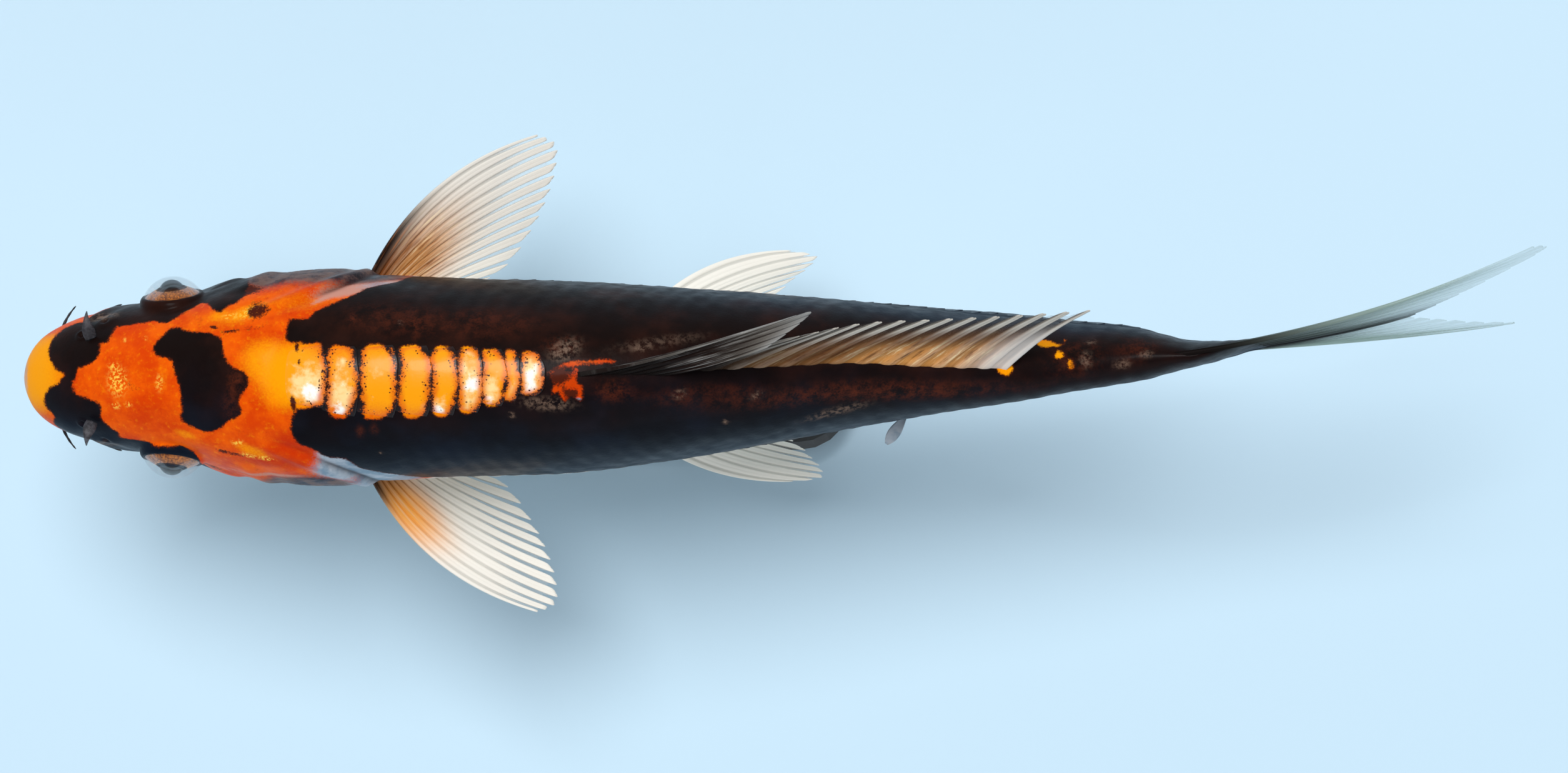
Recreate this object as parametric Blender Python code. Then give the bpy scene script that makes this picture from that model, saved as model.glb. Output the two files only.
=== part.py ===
"""A one-year-old mirror-scaled koi carp, life size, swimming on a low display stand.

Metres, +Z up. The origin is the middle of the underside of the stand's base. The fish heads
towards -X, so its right side is +Y. Its tail sweeps a little to its right, its paired fins are
spread, and its dorsal fin is half folded and leans to its right.
"""

import math

import bpy
import numpy as np

# ---------------------------------------------------------------- driving dimensions
STANDARD_LENGTH = 0.170  # snout tip to the root of the tail fin
SNOUT_X = -0.0713
AXIS_Z = 0.060  # height of the body's axis over the floor
TAIL_SWEEP = 0.00342  # how far the tail root lies to the fish's right of the head
SWEEP_START, SWEEP_SPAN = 0.42, 0.54  # where the body starts to bend, as shares of its length
STALK_LEAN = 0.20  # how far the tail stalk's back leans to the left, per height
GAP = 0.0003  # the thin cut between neighbouring pieces

# Body sections: distance from the snout, half width, top, widest level and bottom, all as
# shares of the standard length. Heights are from the body's axis.
SECTIONS = (
    (0.000, 0.0000, -0.0040, -0.0040, -0.0040),
    (0.010, 0.0300, 0.0210, -0.0050, -0.0270),
    (0.035, 0.0478, 0.0455, -0.0040, -0.0480),
    (0.075, 0.0606, 0.0680, -0.0020, -0.0670),
    (0.130, 0.0722, 0.0910, 0.0000, -0.0860),
    (0.200, 0.0895, 0.1135, 0.0020, -0.1040),
    (0.260, 0.0940, 0.1275, 0.0040, -0.1150),
    (0.360, 0.0876, 0.1395, 0.0080, -0.1235),
    (0.480, 0.0832, 0.1440, 0.0100, -0.1245),
    (0.600, 0.0712, 0.1310, 0.0100, -0.1110),
    (0.720, 0.0552, 0.1060, 0.0080, -0.0900),
    (0.820, 0.0412, 0.0810, 0.0050, -0.0710),
    (0.900, 0.0306, 0.0630, 0.0030, -0.0590),
    (0.955, 0.0246, 0.0575, 0.0010, -0.0560),
    (1.000, 0.0136, 0.0590, 0.0000, -0.0590),
)
TOP_ROUND, BELLY_ROUND = 2.15, 2.05  # superellipse exponents of the back and of the belly
RINGS, SEGMENTS = 32, 32

# Where the body is parted, as shares of the standard length.
NAPE, GILL_REAR, GILL_HEIGHT = 0.225, 0.300, 0.020
TRUNK_SPLIT, STALK_START = 0.50, 0.80

# Gill cover: an oval plate on the cheek. Centre and half sizes in the side view, and the
# level of its flat inner face from the midline.
GILL_COVER_X, GILL_COVER_Z = 0.236, -0.004
GILL_COVER_LONG, GILL_COVER_HIGH = 0.0092, 0.0104
GILL_COVER_INNER = 0.0112

# Eyes
EYE_RADIUS = 0.00485
EYE_X, EYE_Y, EYE_Z = -0.0490, 0.0096, 0.0045
EYE_AXIS = (-0.10, 0.97, 0.20)  # right eye; the left one mirrors it
CORNEA_BULGE = 1.06

# Mouth: an arc under the blunt snout, with a lip before it and one behind it.
MOUTH_FRONT, MOUTH_DEPTH, MOUTH_HALF = 0.0010, 0.0046, 0.0044
LIP_RADIUS = 0.00105
LIP_SPACING = 0.00112

# Fin thickness in the solids, at the root and at the margin.
FIN_ROOT, FIN_MARGIN = 0.00130, 0.00070
MEMBRANE = 0.72  # a membrane's thickness as a share of its rays'
NOTCH = 0.955  # how far the membrane reaches between ray tips

# Stand
BASE_LONG, BASE_WIDE, BASE_HIGH, BASE_CHAMFER = 0.100, 0.022, 0.006, 0.0012
ROD_RADIUS, ROD_X = 0.0020, (-0.022, 0.030)
BASE_CORNER = 0.008
COLLAR_RADIUS, COLLAR_HIGH = 0.0036, 0.0016

MM = 0.001


# ---------------------------------------------------------------- materials
def material(name, colour, roughness, metallic=0.0):
    """A Principled material in one plain colour."""
    made = bpy.data.materials.new(name)
    made.use_nodes = True
    shader = made.node_tree.nodes["Principled BSDF"]
    shader.inputs["Base Color"].default_value = (*colour, 1)
    shader.inputs["Roughness"].default_value = roughness
    shader.inputs["Metallic"].default_value = metallic
    made.diffuse_color = (*colour, 1)
    return made


def make_materials():
    return {
        "orange": material("orange_head_skin", (0.86, 0.19, 0.02), 0.35),
        "black": material("black_body_skin", (0.022, 0.017, 0.020), 0.35),
        "dark_fin": material("dark_fin_rays", (0.20, 0.15, 0.13), 0.45),
        "white_fin": material("white_fin_rays", (0.83, 0.79, 0.70), 0.45),
        "eye": material("eye", (0.10, 0.05, 0.02), 0.08),
        "barbel": material("dark_barbel", (0.04, 0.035, 0.04), 0.4),
        "stand": material("black_stand", (0.02, 0.02, 0.022), 0.3),
    }


# ---------------------------------------------------------------- curves
def smooth(t, knots, values):
    """A smooth curve through the knots, by cubic Hermite pieces with averaged slopes."""
    knots = np.asarray(knots, float)
    values = np.asarray(values, float)
    steps = np.diff(values, axis=0) / np.diff(knots).reshape(-1, *[1] * (values.ndim - 1))
    slopes = np.concatenate([steps[:1], (steps[:-1] + steps[1:]) / 2, steps[-1:]])
    t = np.clip(np.asarray(t, float), knots[0], knots[-1])
    i = np.clip(np.searchsorted(knots, t, side="right") - 1, 0, len(knots) - 2)
    span = (knots[i + 1] - knots[i]).reshape(*i.shape, *[1] * (values.ndim - 1))
    s = ((t - knots[i]) / (knots[i + 1] - knots[i])).reshape(span.shape)
    return (
        (2 * s**3 - 3 * s**2 + 1) * values[i]
        + (s**3 - 2 * s**2 + s) * span * slopes[i]
        + (3 * s**2 - 2 * s**3) * values[i + 1]
        + (s**3 - s**2) * span * slopes[i + 1]
    )


def through(points, a):
    """The point at share a of a smooth curve through evenly spaced points."""
    return smooth(a, np.linspace(0, 1, len(points)), np.asarray(points, float))


# ---------------------------------------------------------------- body form
def sections(u):
    """Half width, top, widest level and bottom in metres, at shares u of the body's length."""
    table = np.array(SECTIONS)
    return smooth(np.sqrt(u), np.sqrt(table[:, 0]), table[:, 1:]) * STANDARD_LENGTH


def share_at(x):
    return (np.asarray(x, float) - SNOUT_X) / STANDARD_LENGTH


def ramp(value, start, span):
    s = np.clip((np.asarray(value, float) - start) / span, 0, 1)
    return s * s * (3 - 2 * s)


def spine_y(u):
    """How far the body's midline lies to the fish's right."""
    return TAIL_SWEEP * ramp(u, SWEEP_START, SWEEP_SPAN)


def lean(u):
    """Sideways lean of the sections, to the right per height over the axis."""
    return -STALK_LEAN * ramp(u, 0.68, 0.20) * (1 - 0.8 * ramp(u, 0.86, 0.14))


def body_point(u, angle, grow=0.0):
    """Points of the body's surface. The angle runs from the fish's right side over its back."""
    u, angle = np.broadcast_arrays(np.asarray(u, float), np.asarray(angle, float))
    wide, top, level, bottom = np.moveaxis(sections(u), -1, 0)
    cos, sin = np.cos(angle), np.sin(angle)
    power = 2 / np.where(sin >= 0, TOP_ROUND, BELLY_ROUND)
    height = np.where(sin >= 0, top - level, level - bottom)
    y = (wide + grow) * np.sign(cos) * np.abs(cos) ** power
    z = level + (height + grow) * np.sign(sin) * np.abs(sin) ** power
    y = y + spine_y(u) + lean(u) * z
    return np.stack([SNOUT_X + u * STANDARD_LENGTH, y, AXIS_Z + z], -1)


def back_height(x):
    return AXIS_Z + sections(share_at(x))[..., 1]


def belly_height(x, y=0.0):
    """Height of the body's underside at (x, y), with y from the midline."""
    wide, _, level, bottom = np.moveaxis(sections(share_at(x)), -1, 0)
    inside = np.clip(np.abs(y) / wide, 0, 1)
    return AXIS_Z + level - (level - bottom) * (1 - inside**BELLY_ROUND) ** (1 / BELLY_ROUND)


# ---------------------------------------------------------------- meshes
def add_mesh(name, points, faces, paint=None, smooth_over=35.0):
    mesh = bpy.data.meshes.new(name)
    mesh.from_pydata([tuple(map(float, p)) for p in points], [], faces)
    mesh.shade_smooth()
    mesh.set_sharp_from_angle(angle=math.radians(smooth_over))
    made = bpy.data.objects.new(name, mesh)
    bpy.context.scene.collection.objects.link(made)
    if paint:
        mesh.materials.append(paint)
    return made


def hide_cutter(cutter):
    cutter.hide_render = True
    cutter.display_type = "WIRE"
    return cutter


def boolean(target, operation, cutter):
    modifier = target.modifiers.new(f"{operation.lower()} {cutter.name}", "BOOLEAN")
    modifier.operation = operation
    modifier.object = hide_cutter(cutter)
    return target


def tube_faces(rings, segments, closed_tips):
    """Faces of a tube of rings. closed_tips adds a fan onto a point before and after them."""
    faces = []
    for r in range(rings - 1):
        for s in range(segments):
            n = (s + 1) % segments
            faces.append(
                (r * segments + s, r * segments + n, (r + 1) * segments + n, (r + 1) * segments + s)
            )
    first, last = rings * segments, rings * segments + 1
    if closed_tips:
        end = (rings - 1) * segments
        for s in range(segments):
            n = (s + 1) % segments
            faces.append((first, n, s))
            faces.append((last, end + s, end + n))
    return faces


def body_solid(name, grow=0.0, paint=None):
    """The whole body as one closed solid, from the snout to the root of the tail fin."""
    t = np.linspace(0, 1, RINGS + 1)[1:]
    angle = np.linspace(0, 2 * math.pi, SEGMENTS, endpoint=False)
    points = body_point((t**2)[:, None], angle[None, :], grow).reshape(-1, 3)
    tip = body_point(0, 0)[None] - [grow, 0, 0]
    end = np.array([[SNOUT_X + STANDARD_LENGTH + grow, spine_y(1.0), AXIS_Z]])
    faces = tube_faces(RINGS, SEGMENTS, True)
    return add_mesh(name, np.concatenate([points, tip, end]), faces, paint)


def prism(name, outline, low, high, axis="Y"):
    """A closed outline, counter-clockwise in (x, z) or (x, y), extruded from low to high."""
    count = len(outline)
    if axis == "Y":
        points = [(x, low, z) for x, z in outline] + [(x, high, z) for x, z in outline]
    else:
        points = [(x, y, low) for x, y in outline] + [(x, y, high) for x, y in outline]
    faces = [tuple(range(count)), tuple(range(2 * count - 1, count - 1, -1))]
    faces += [(i, i + count, (i + 1) % count + count, (i + 1) % count) for i in range(count)]
    if axis != "Y":
        faces = [f[::-1] for f in faces]
    return add_mesh(name, points, faces)


def ball(name, centre, radii, axis=(0, 0, 1), rings=9, segments=14, paint=None):
    """An ellipsoid with its last radius along the axis."""
    axis = np.array(axis, float) / np.linalg.norm(axis)
    side = np.cross(axis, [1, 0, 0] if abs(axis[0]) < 0.9 else [0, 1, 0])
    side /= np.linalg.norm(side)
    third = np.cross(axis, side)
    down = math.pi * np.arange(1, rings) / rings
    turn = 2 * math.pi * np.arange(segments) / segments
    points = [
        np.array(centre)
        + radii[0] * math.sin(d) * (math.cos(a) * side + math.sin(a) * third)
        + radii[1] * math.cos(d) * axis
        for d in down
        for a in turn
    ]
    points += [np.array(centre) + radii[1] * axis, np.array(centre) - radii[1] * axis]
    faces = [f[::-1] for f in tube_faces(rings - 1, segments, True)]
    return add_mesh(name, points, faces, paint)


def sweep(name, path, radii, segments=8, paint=None):
    """A round tube along the path, closed by a fan at each end."""
    path = np.asarray(path, float)
    along = np.gradient(path, axis=0)
    along /= np.linalg.norm(along, axis=1)[:, None]
    side = np.cross(along, [0, 0, 1.0])
    side /= np.linalg.norm(side, axis=1)[:, None]
    up = np.cross(along, side)
    turn = 2 * math.pi * np.arange(segments) / segments
    radii = np.broadcast_to(np.asarray(radii, float), len(path))
    ring = [
        p + r * (math.cos(a) * s + math.sin(a) * v)
        for p, r, s, v in zip(path, radii, side, up)
        for a in turn
    ]
    ends = [path[0] - along[0] * radii[0] * 0.6, path[-1] + along[-1] * radii[-1] * 0.6]
    return add_mesh(name, ring + ends, tube_faces(len(path), segments, True), paint)


# ---------------------------------------------------------------- head and trunk
def gill_line(grow):
    """The gill opening in the side view, from the throat to the nape, as (x, z) points."""
    z = np.linspace(-1.6, 1.6, 15) * GILL_HEIGHT
    u = GILL_REAR - (GILL_REAR - NAPE) * (z / GILL_HEIGHT) ** 2
    return [(SNOUT_X + a * STANDARD_LENGTH + grow, AXIS_Z + b) for a, b in zip(u, z)]


def upright(u, grow):
    """A straight cut across the body in the side view, from below to above."""
    x = SNOUT_X + u * STANDARD_LENGTH + grow
    return [(x, AXIS_Z - 1.6 * GILL_HEIGHT), (x, AXIS_Z + 1.6 * GILL_HEIGHT)]


def body_segment(name, front, rear, paint):
    """The stretch of the body between two cut lines."""
    piece = body_solid(name, paint=paint)
    cutter = prism(f"cut_{name}", rear + front[::-1], -0.03, 0.03)
    return boolean(piece, "INTERSECT", cutter)


def side_sign(side):
    return 1 if side == "right" else -1


def gill_cover_outline(grow):
    angle = 2 * math.pi * np.arange(20) / 20
    x = SNOUT_X + GILL_COVER_X * STANDARD_LENGTH + (GILL_COVER_LONG + grow) * np.cos(angle)
    z = AXIS_Z + GILL_COVER_Z + (GILL_COVER_HIGH + grow) * np.sin(angle)
    return list(zip(x, z))


def gill_cover_block(name, side, grow):
    inner, outer = GILL_COVER_INNER - grow, 0.03
    low, high = (inner, outer) if side == "right" else (-outer, -inner)
    return prism(name, gill_cover_outline(grow), low, high)


def eye_centre(side):
    return (EYE_X, side_sign(side) * EYE_Y, AXIS_Z + EYE_Z)


def eye_axis(side):
    return (EYE_AXIS[0], side_sign(side) * EYE_AXIS[1], EYE_AXIS[2])


def mouth_path(shift):
    """The mouth's arc under the snout, moved back by shift, as points on the surface."""
    y = np.linspace(-MOUTH_HALF, MOUTH_HALF, 11)
    x = SNOUT_X + MOUTH_FRONT + MOUTH_DEPTH * (y / MOUTH_HALF) ** 2
    z = belly_height(x, y)
    steepness = np.clip(1.4 - 0.4 * (y / MOUTH_HALF) ** 2, 0, 2)
    return np.stack([x + 0.65 * shift, y, z - steepness * shift], -1)


def lip(name, shift, grow, paint=None):
    return sweep(name, mouth_path(shift), LIP_RADIUS + grow, 6, paint)


def make_head(paints):
    head = body_segment("head", [(-0.09, 0.01), (-0.09, 0.11)], gill_line(0), paints["orange"])
    for side in ("right", "left"):
        boolean(head, "DIFFERENCE", gill_cover_block(f"cut_gill_cover_{side}", side, GAP))
        socket = ball(
            f"cut_eye_{side}",
            eye_centre(side),
            (EYE_RADIUS + GAP, EYE_RADIUS * CORNEA_BULGE + GAP),
            eye_axis(side),
        )
        boolean(head, "DIFFERENCE", socket)
        ball(
            f"eye_{side}",
            eye_centre(side),
            (EYE_RADIUS, EYE_RADIUS * CORNEA_BULGE),
            eye_axis(side),
            paint=paints["eye"],
        )
        cover = body_solid(f"gill_cover_{side}", paint=paints["orange"])
        boolean(cover, "INTERSECT", gill_cover_block(f"block_gill_cover_{side}", side, 0))
    for name, shift in (("upper_lip", -0.1 * LIP_SPACING), ("lower_lip", 1.9 * LIP_SPACING)):
        boolean(head, "DIFFERENCE", lip(f"cut_{name}", shift, GAP))
        lip(name, shift, 0, paints["orange"])


def make_trunk(paints):
    black = paints["black"]
    body_segment("trunk_front", gill_line(GAP), upright(TRUNK_SPLIT, 0), black)
    body_segment("trunk_rear", upright(TRUNK_SPLIT, GAP), upright(STALK_START, 0), black)
    body_segment("tail_stalk", upright(STALK_START, GAP), upright(1.1, 0), black)


# ---------------------------------------------------------------- feelers and nostril flaps
def curve_of_three(start, bend, end, count):
    t = np.linspace(0, 1, count)[:, None]
    return (1 - t) ** 2 * np.array(start) + 2 * t * (1 - t) * np.array(bend) + t**2 * np.array(end)


# Right side, in millimetres from the snout tip, the midline and the axis.
BARBELS = {
    "lip_barbel": ((4.6, 5.4, -5.6), (5.0, 8.4, -7.6), (7.1, 10.8, -6.8), 0.42, 0.27),
    "corner_barbel": ((8.0, 6.6, -8.2), (9.4, 9.8, -11.5), (13.4, 11.5, -13.4), 0.50, 0.28),
}
FLAP_BASE, FLAP_BEND, FLAP_TIP = (10.6, 5.9, 8.9), (9.8, 7.8, 10.0), (10.1, 9.6, 9.2)
FLAP_RADIUS = (0.85, 0.95, 0.80, 0.55, 0.30)


def on_side(point, side):
    x, y, z = (v * MM for v in point)
    return (SNOUT_X + x, side_sign(side) * y, AXIS_Z + z)


def make_feelers(paints):
    for side in ("right", "left"):
        for name, (start, bend, end, root, tip) in BARBELS.items():
            path = curve_of_three(*(on_side(p, side) for p in (start, bend, end)), 7)
            radii = np.linspace(root, tip, 7) * MM
            feeler = sweep(f"{name}_{side}", path, radii, 6, paints["barbel"])
            boolean(feeler, "DIFFERENCE", body_solid(f"cut_{name}_{side}", GAP))
        path = curve_of_three(*(on_side(p, side) for p in (FLAP_BASE, FLAP_BEND, FLAP_TIP)), 5)
        radii = np.array(FLAP_RADIUS) * MM
        flap = sweep(f"nostril_flap_{side}", path, radii, 6, paints["barbel"])
        boolean(flap, "DIFFERENCE", body_solid(f"cut_nostril_flap_{side}", GAP))


# ---------------------------------------------------------------- fins
# Every fin is a fan of rays. Its root line, its margin and the bow of its first and last ray
# are in millimetres: x from the origin, y from the midline plane to the right, z from the axis.
def fan_point(fin, a, r):
    """The fin's middle surface at share a across the rays and share r along them."""
    root = through(fin["root"], a)
    edge = through(fin["margin"], a)
    first, last = np.array(fin["bow_first"], float), np.array(fin["bow_last"], float)
    bend = (root + edge) / 2 + first * (1 - a) ** fin["bow_fade"] + last * a ** fin["bow_fade"]
    at = (1 - r) ** 2 * root + 2 * r * (1 - r) * bend + r**2 * edge
    return at * MM + np.array([0, 0, AXIS_Z])


def fin_solid(name, fin, paint):
    """A thin solid with a ridge along each ray and a notch in the margin between rays."""
    columns, rows = 2 * fin["rays"] - 1, fin["rows"]
    middle = np.empty((columns, rows + 1, 3))
    half = np.empty((columns, rows + 1))
    for i in range(columns):
        is_ray = i % 2 == 0
        reach = 1.0 if is_ray else NOTCH
        for j in range(rows + 1):
            r = reach * j / rows
            middle[i, j] = fan_point(fin, i / (columns - 1), r)
            thick = FIN_ROOT + (FIN_MARGIN - FIN_ROOT) * r**0.7
            half[i, j] = thick / 2 * (1.0 if is_ray else MEMBRANE)
    across, along = np.gradient(middle, axis=0), np.gradient(middle, axis=1)
    normal = np.cross(across, along)
    normal /= np.linalg.norm(normal, axis=2)[..., None]
    offset = normal * half[..., None]
    points = np.concatenate([(middle + offset).reshape(-1, 3), (middle - offset).reshape(-1, 3)])
    under = columns * (rows + 1)

    def at(i, j):
        return i * (rows + 1) + j

    faces = []
    for i in range(columns - 1):
        for j in range(rows):
            quad = (at(i, j), at(i + 1, j), at(i + 1, j + 1), at(i, j + 1))
            faces.append(quad)
            faces.append(tuple(q + under for q in quad[::-1]))
    rim = [at(i, 0) for i in range(columns)]
    rim += [at(columns - 1, j) for j in range(1, rows + 1)]
    rim += [at(i, rows) for i in range(columns - 2, -1, -1)]
    rim += [at(0, j) for j in range(rows - 1, 0, -1)]
    for here, there in zip(rim, rim[1:] + rim[:1]):
        faces.append((there, here, here + under, there + under))
    made = add_mesh(name, points, faces, paint)
    return boolean(made, "DIFFERENCE", body_solid(f"cut_{name}", GAP))


PECTORAL_LEFT_SPREAD = 0.965


def mirrored(fin, spread):
    """The same fin on the left side, with its spread from the midline scaled."""
    flip = np.array([1, -spread, 1])
    same = ("rays", "rows", "bow_fade")
    return {k: v if k in same else np.array(v, float) * flip for k, v in fin.items()}


def along_back(x, sink):
    """A point of the back's midline at x in millimetres, sunk into it."""
    u = share_at(x * MM)
    z = float(back_height(x * MM) - AXIS_Z)
    return (x, float(spine_y(u) + lean(u) * z) / MM, z / MM - sink)


PECTORAL = {
    "root": [(-23.0, 11.0, -10.0), (-21.0, 10.0, -12.2), (-18.5, 8.8, -14.2)],
    "margin": [
        (3.5, 35.9, -11.0),
        (6.2, 34.4, -11.6),
        (6.1, 30.6, -12.2),
        (4.8, 26.4, -13.0),
        (2.6, 22.0, -13.8),
        (-1.2, 16.6, -14.8),
        (-7.6, 12.7, -15.6),
    ],
    "bow_first": (-6.2, 6.8, 1.0),
    "bow_last": (0.0, 0.8, -0.6),
    "bow_fade": 1.6,
    "rays": 14,
    "rows": 5,
}
PELVIC = {
    "root": [(15.5, 4.8, -17.0), (17.5, 3.9, -18.0), (19.5, 3.0, -18.6)],
    "margin": [
        (40.4, 19.0, -23.8),
        (44.6, 18.2, -24.4),
        (43.6, 16.6, -24.8),
        (41.4, 14.9, -25.2),
        (38.9, 12.6, -25.4),
        (34.5, 9.0, -25.2),
    ],
    "bow_first": (-4.1, 6.9, -1.0),
    "bow_last": (0.0, 0.5, -1.0),
    "bow_fade": 1.6,
    "rays": 9,
    "rows": 4,
}
# The left pelvic fin is held closer to the body and spread wider.
PELVIC_LEFT = {
    **PELVIC,
    "root": [(15.5, -4.8, -17.0), (17.5, -3.9, -18.0), (19.5, -3.0, -18.6)],
    "margin": [
        (40.6, -15.5, -24.2),
        (45.2, -15.0, -24.8),
        (45.4, -13.6, -25.2),
        (44.0, -12.0, -25.4),
        (42.0, -10.0, -25.4),
        (37.5, -7.4, -25.2),
    ],
    "bow_first": (-3.6, -5.6, -1.0),
    "bow_last": (0.0, -0.5, -1.0),
}
ANAL = {
    "root": [(57.5, 1.3, -11.6), (64.0, 1.9, -10.8), (70.5, 2.4, -9.4)],
    "margin": [
        (68.5, -0.6, -29.5),
        (72.8, -0.4, -28.6),
        (75.2, 0.2, -25.0),
        (77.4, 1.0, -21.0),
        (79.0, 1.8, -16.8),
    ],
    "bow_first": (-2.4, 0.0, -1.6),
    "bow_last": (0.0, 0.0, -0.5),
    "bow_fade": 1.4,
    "rays": 8,
    "rows": 3,
}
DORSAL_FRONT = {
    "root": [along_back(x, 1.5) for x in (7.5, 12.0, 16.5, 21.0)],
    "margin": [
        (28.0, 4.4, 30.2),
        (42.2, 9.0, 34.0),
        (42.8, 8.4, 33.4),
        (40.2, 6.3, 32.4),
        (37.2, 4.2, 31.6),
    ],
    "bow_first": (0.0, -1.0, 1.2),
    "bow_last": (0.0, -1.4, 1.2),
    "bow_fade": 1.0,
    "rays": 7,
    "rows": 5,
}
DORSAL_REAR = {
    "root": [along_back(x, 1.2) for x in (23.5, 36.0, 48.0, 60.0, 71.0)],
    "margin": [
        (41.6, 5.8, 28.6),
        (51.0, 7.7, 27.4),
        (62.0, 8.3, 25.0),
        (73.0, 8.9, 22.0),
        (84.0, 9.7, 18.8),
    ],
    "bow_first": (0.0, 0.2, 1.4),
    "bow_last": (0.0, 1.8, 0.8),
    "bow_fade": 1.0,
    "rays": 14,
    "rows": 3,
}
TAIL_UPPER = {
    "root": [(94.0, 3.0, 9.0), (95.5, 3.2, 4.6), (96.0, 3.4, 0.2)],
    "margin": [
        (147.0, 18.8, 21.6),
        (149.0, 18.6, 19.2),
        (143.4, 15.2, 12.6),
        (136.6, 11.6, 6.0),
        (131.0, 8.9, 0.4),
    ],
    "bow_first": (0.0, -4.9, -1.6),
    "bow_last": (0.0, -2.0, 0.0),
    "bow_fade": 1.2,
    "rays": 9,
    "rows": 5,
}
TAIL_LOWER = {
    "root": [(96.0, 3.4, -0.2), (95.5, 3.6, -4.6), (94.0, 3.8, -9.0)],
    "margin": [
        (131.0, 8.8, -0.4),
        (136.4, 8.5, -5.8),
        (142.6, 8.2, -12.4),
        (148.4, 8.2, -18.6),
        (146.4, 7.8, -21.0),
    ],
    "bow_first": (0.0, -2.0, 0.0),
    "bow_last": (0.0, -1.4, 1.6),
    "bow_fade": 1.2,
    "rays": 9,
    "rows": 5,
}


def make_fins(paints):
    white, dark = paints["white_fin"], paints["dark_fin"]
    fin_solid("pectoral_fin_right", PECTORAL, white)
    fin_solid("pectoral_fin_left", mirrored(PECTORAL, PECTORAL_LEFT_SPREAD), white)
    fin_solid("pelvic_fin_right", PELVIC, white)
    fin_solid("pelvic_fin_left", PELVIC_LEFT, white)
    fin_solid("anal_fin", ANAL, white)
    fin_solid("dorsal_fin_front", DORSAL_FRONT, dark)
    fin_solid("dorsal_fin_rear", DORSAL_REAR, dark)
    fin_solid("tail_fin_upper", TAIL_UPPER, white)
    fin_solid("tail_fin_lower", TAIL_LOWER, white)


# ---------------------------------------------------------------- stand
def rounded_rectangle(long, wide, radius, steps=5):
    corners = ((1, 1, 0), (-1, 1, 1), (-1, -1, 2), (1, -1, 3))
    outline = []
    for sx, sy, quarter in corners:
        for k in range(steps + 1):
            a = (quarter + k / steps) * math.pi / 2
            x = sx * (long / 2 - radius) + radius * math.cos(a)
            y = sy * (wide / 2 - radius) + radius * math.sin(a)
            outline.append((x, y))
    return outline


def make_stand(paint):
    base = prism(
        "stand_base", rounded_rectangle(BASE_LONG, BASE_WIDE, BASE_CORNER), 0, BASE_HIGH, axis="Z"
    )
    base.data.materials.append(paint)
    bevel = base.modifiers.new("chamfer", "BEVEL")
    bevel.width, bevel.segments, bevel.limit_method = BASE_CHAMFER, 1, "ANGLE"
    bevel.angle_limit = math.radians(60)
    for name, x in zip(("stand_rod_front", "stand_rod_rear"), ROD_X):
        bottom, turn = BASE_HIGH + GAP, 2 * math.pi * np.arange(16) / 16
        profile = (
            (COLLAR_RADIUS, bottom),
            (COLLAR_RADIUS, bottom + COLLAR_HIGH),
            (ROD_RADIUS, bottom + COLLAR_HIGH),
            (ROD_RADIUS, AXIS_Z),
        )
        y = float(spine_y(share_at(x)))
        points = [(x + r * math.cos(a), y + r * math.sin(a), z) for r, z in profile for a in turn]
        points += [(x, y, profile[0][1]), (x, y, profile[-1][1])]
        rod = add_mesh(name, points, tube_faces(len(profile), len(turn), True), paint)
        boolean(rod, "DIFFERENCE", body_solid(f"cut_{name}", GAP))


def main():
    for old in list(bpy.data.objects):
        bpy.data.objects.remove(old)
    paints = make_materials()
    make_head(paints)
    make_trunk(paints)
    make_feelers(paints)
    make_fins(paints)
    make_stand(paints["stand"])


main()
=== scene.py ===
"""Looks of a life-size, mirror-scaled koi carp on its display stand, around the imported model.

Shapes are worked out in millimetres: x from the snout towards the tail, y from the midline to
the fish's right, z from the body's axis. Places on the skin are given as (x, girth), where
girth is the distance over the skin from the middle of the back, positive on the right side.
"""

import math
from typing import NamedTuple

import bmesh
import bpy
import numpy as np
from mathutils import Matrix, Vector, noise


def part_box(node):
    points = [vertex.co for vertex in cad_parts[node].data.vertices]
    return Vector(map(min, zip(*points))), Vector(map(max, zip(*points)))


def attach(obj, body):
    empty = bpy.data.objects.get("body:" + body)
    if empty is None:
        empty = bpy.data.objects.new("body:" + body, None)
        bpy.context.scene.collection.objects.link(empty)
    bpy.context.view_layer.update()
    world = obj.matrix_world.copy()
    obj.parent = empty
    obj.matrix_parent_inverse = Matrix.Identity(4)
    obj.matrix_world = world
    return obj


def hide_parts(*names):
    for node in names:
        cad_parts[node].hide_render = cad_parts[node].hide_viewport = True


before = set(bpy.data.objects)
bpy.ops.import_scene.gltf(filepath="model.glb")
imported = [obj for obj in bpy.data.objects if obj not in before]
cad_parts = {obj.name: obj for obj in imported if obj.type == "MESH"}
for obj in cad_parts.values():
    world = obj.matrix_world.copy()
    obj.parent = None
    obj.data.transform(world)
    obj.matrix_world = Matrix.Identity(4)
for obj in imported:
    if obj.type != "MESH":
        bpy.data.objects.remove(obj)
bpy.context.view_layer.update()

MM = 0.001
SNOUT = np.array([-0.0713, 0, 0.060])  # place of the snout's end of the axis, in metres
ORIGIN_X = 71.3  # x of the model's origin

# ---------------------------------------------------------------- body form, as in the solids
LENGTH = 170.0  # snout tip to the root of the tail fin
SKIN_END = 184.0  # where the skin has thinned out over the tail fin
COAT_DEPTH = 0.3  # the skin lies this far inside the solids
TAIL_SWEEP, SWEEP_START, SWEEP_SPAN, STALK_LEAN = 3.42, 0.42, 0.54, 0.20
TOP_ROUND, BELLY_ROUND = 2.15, 2.05  # powers of the upper and lower half sections

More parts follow.
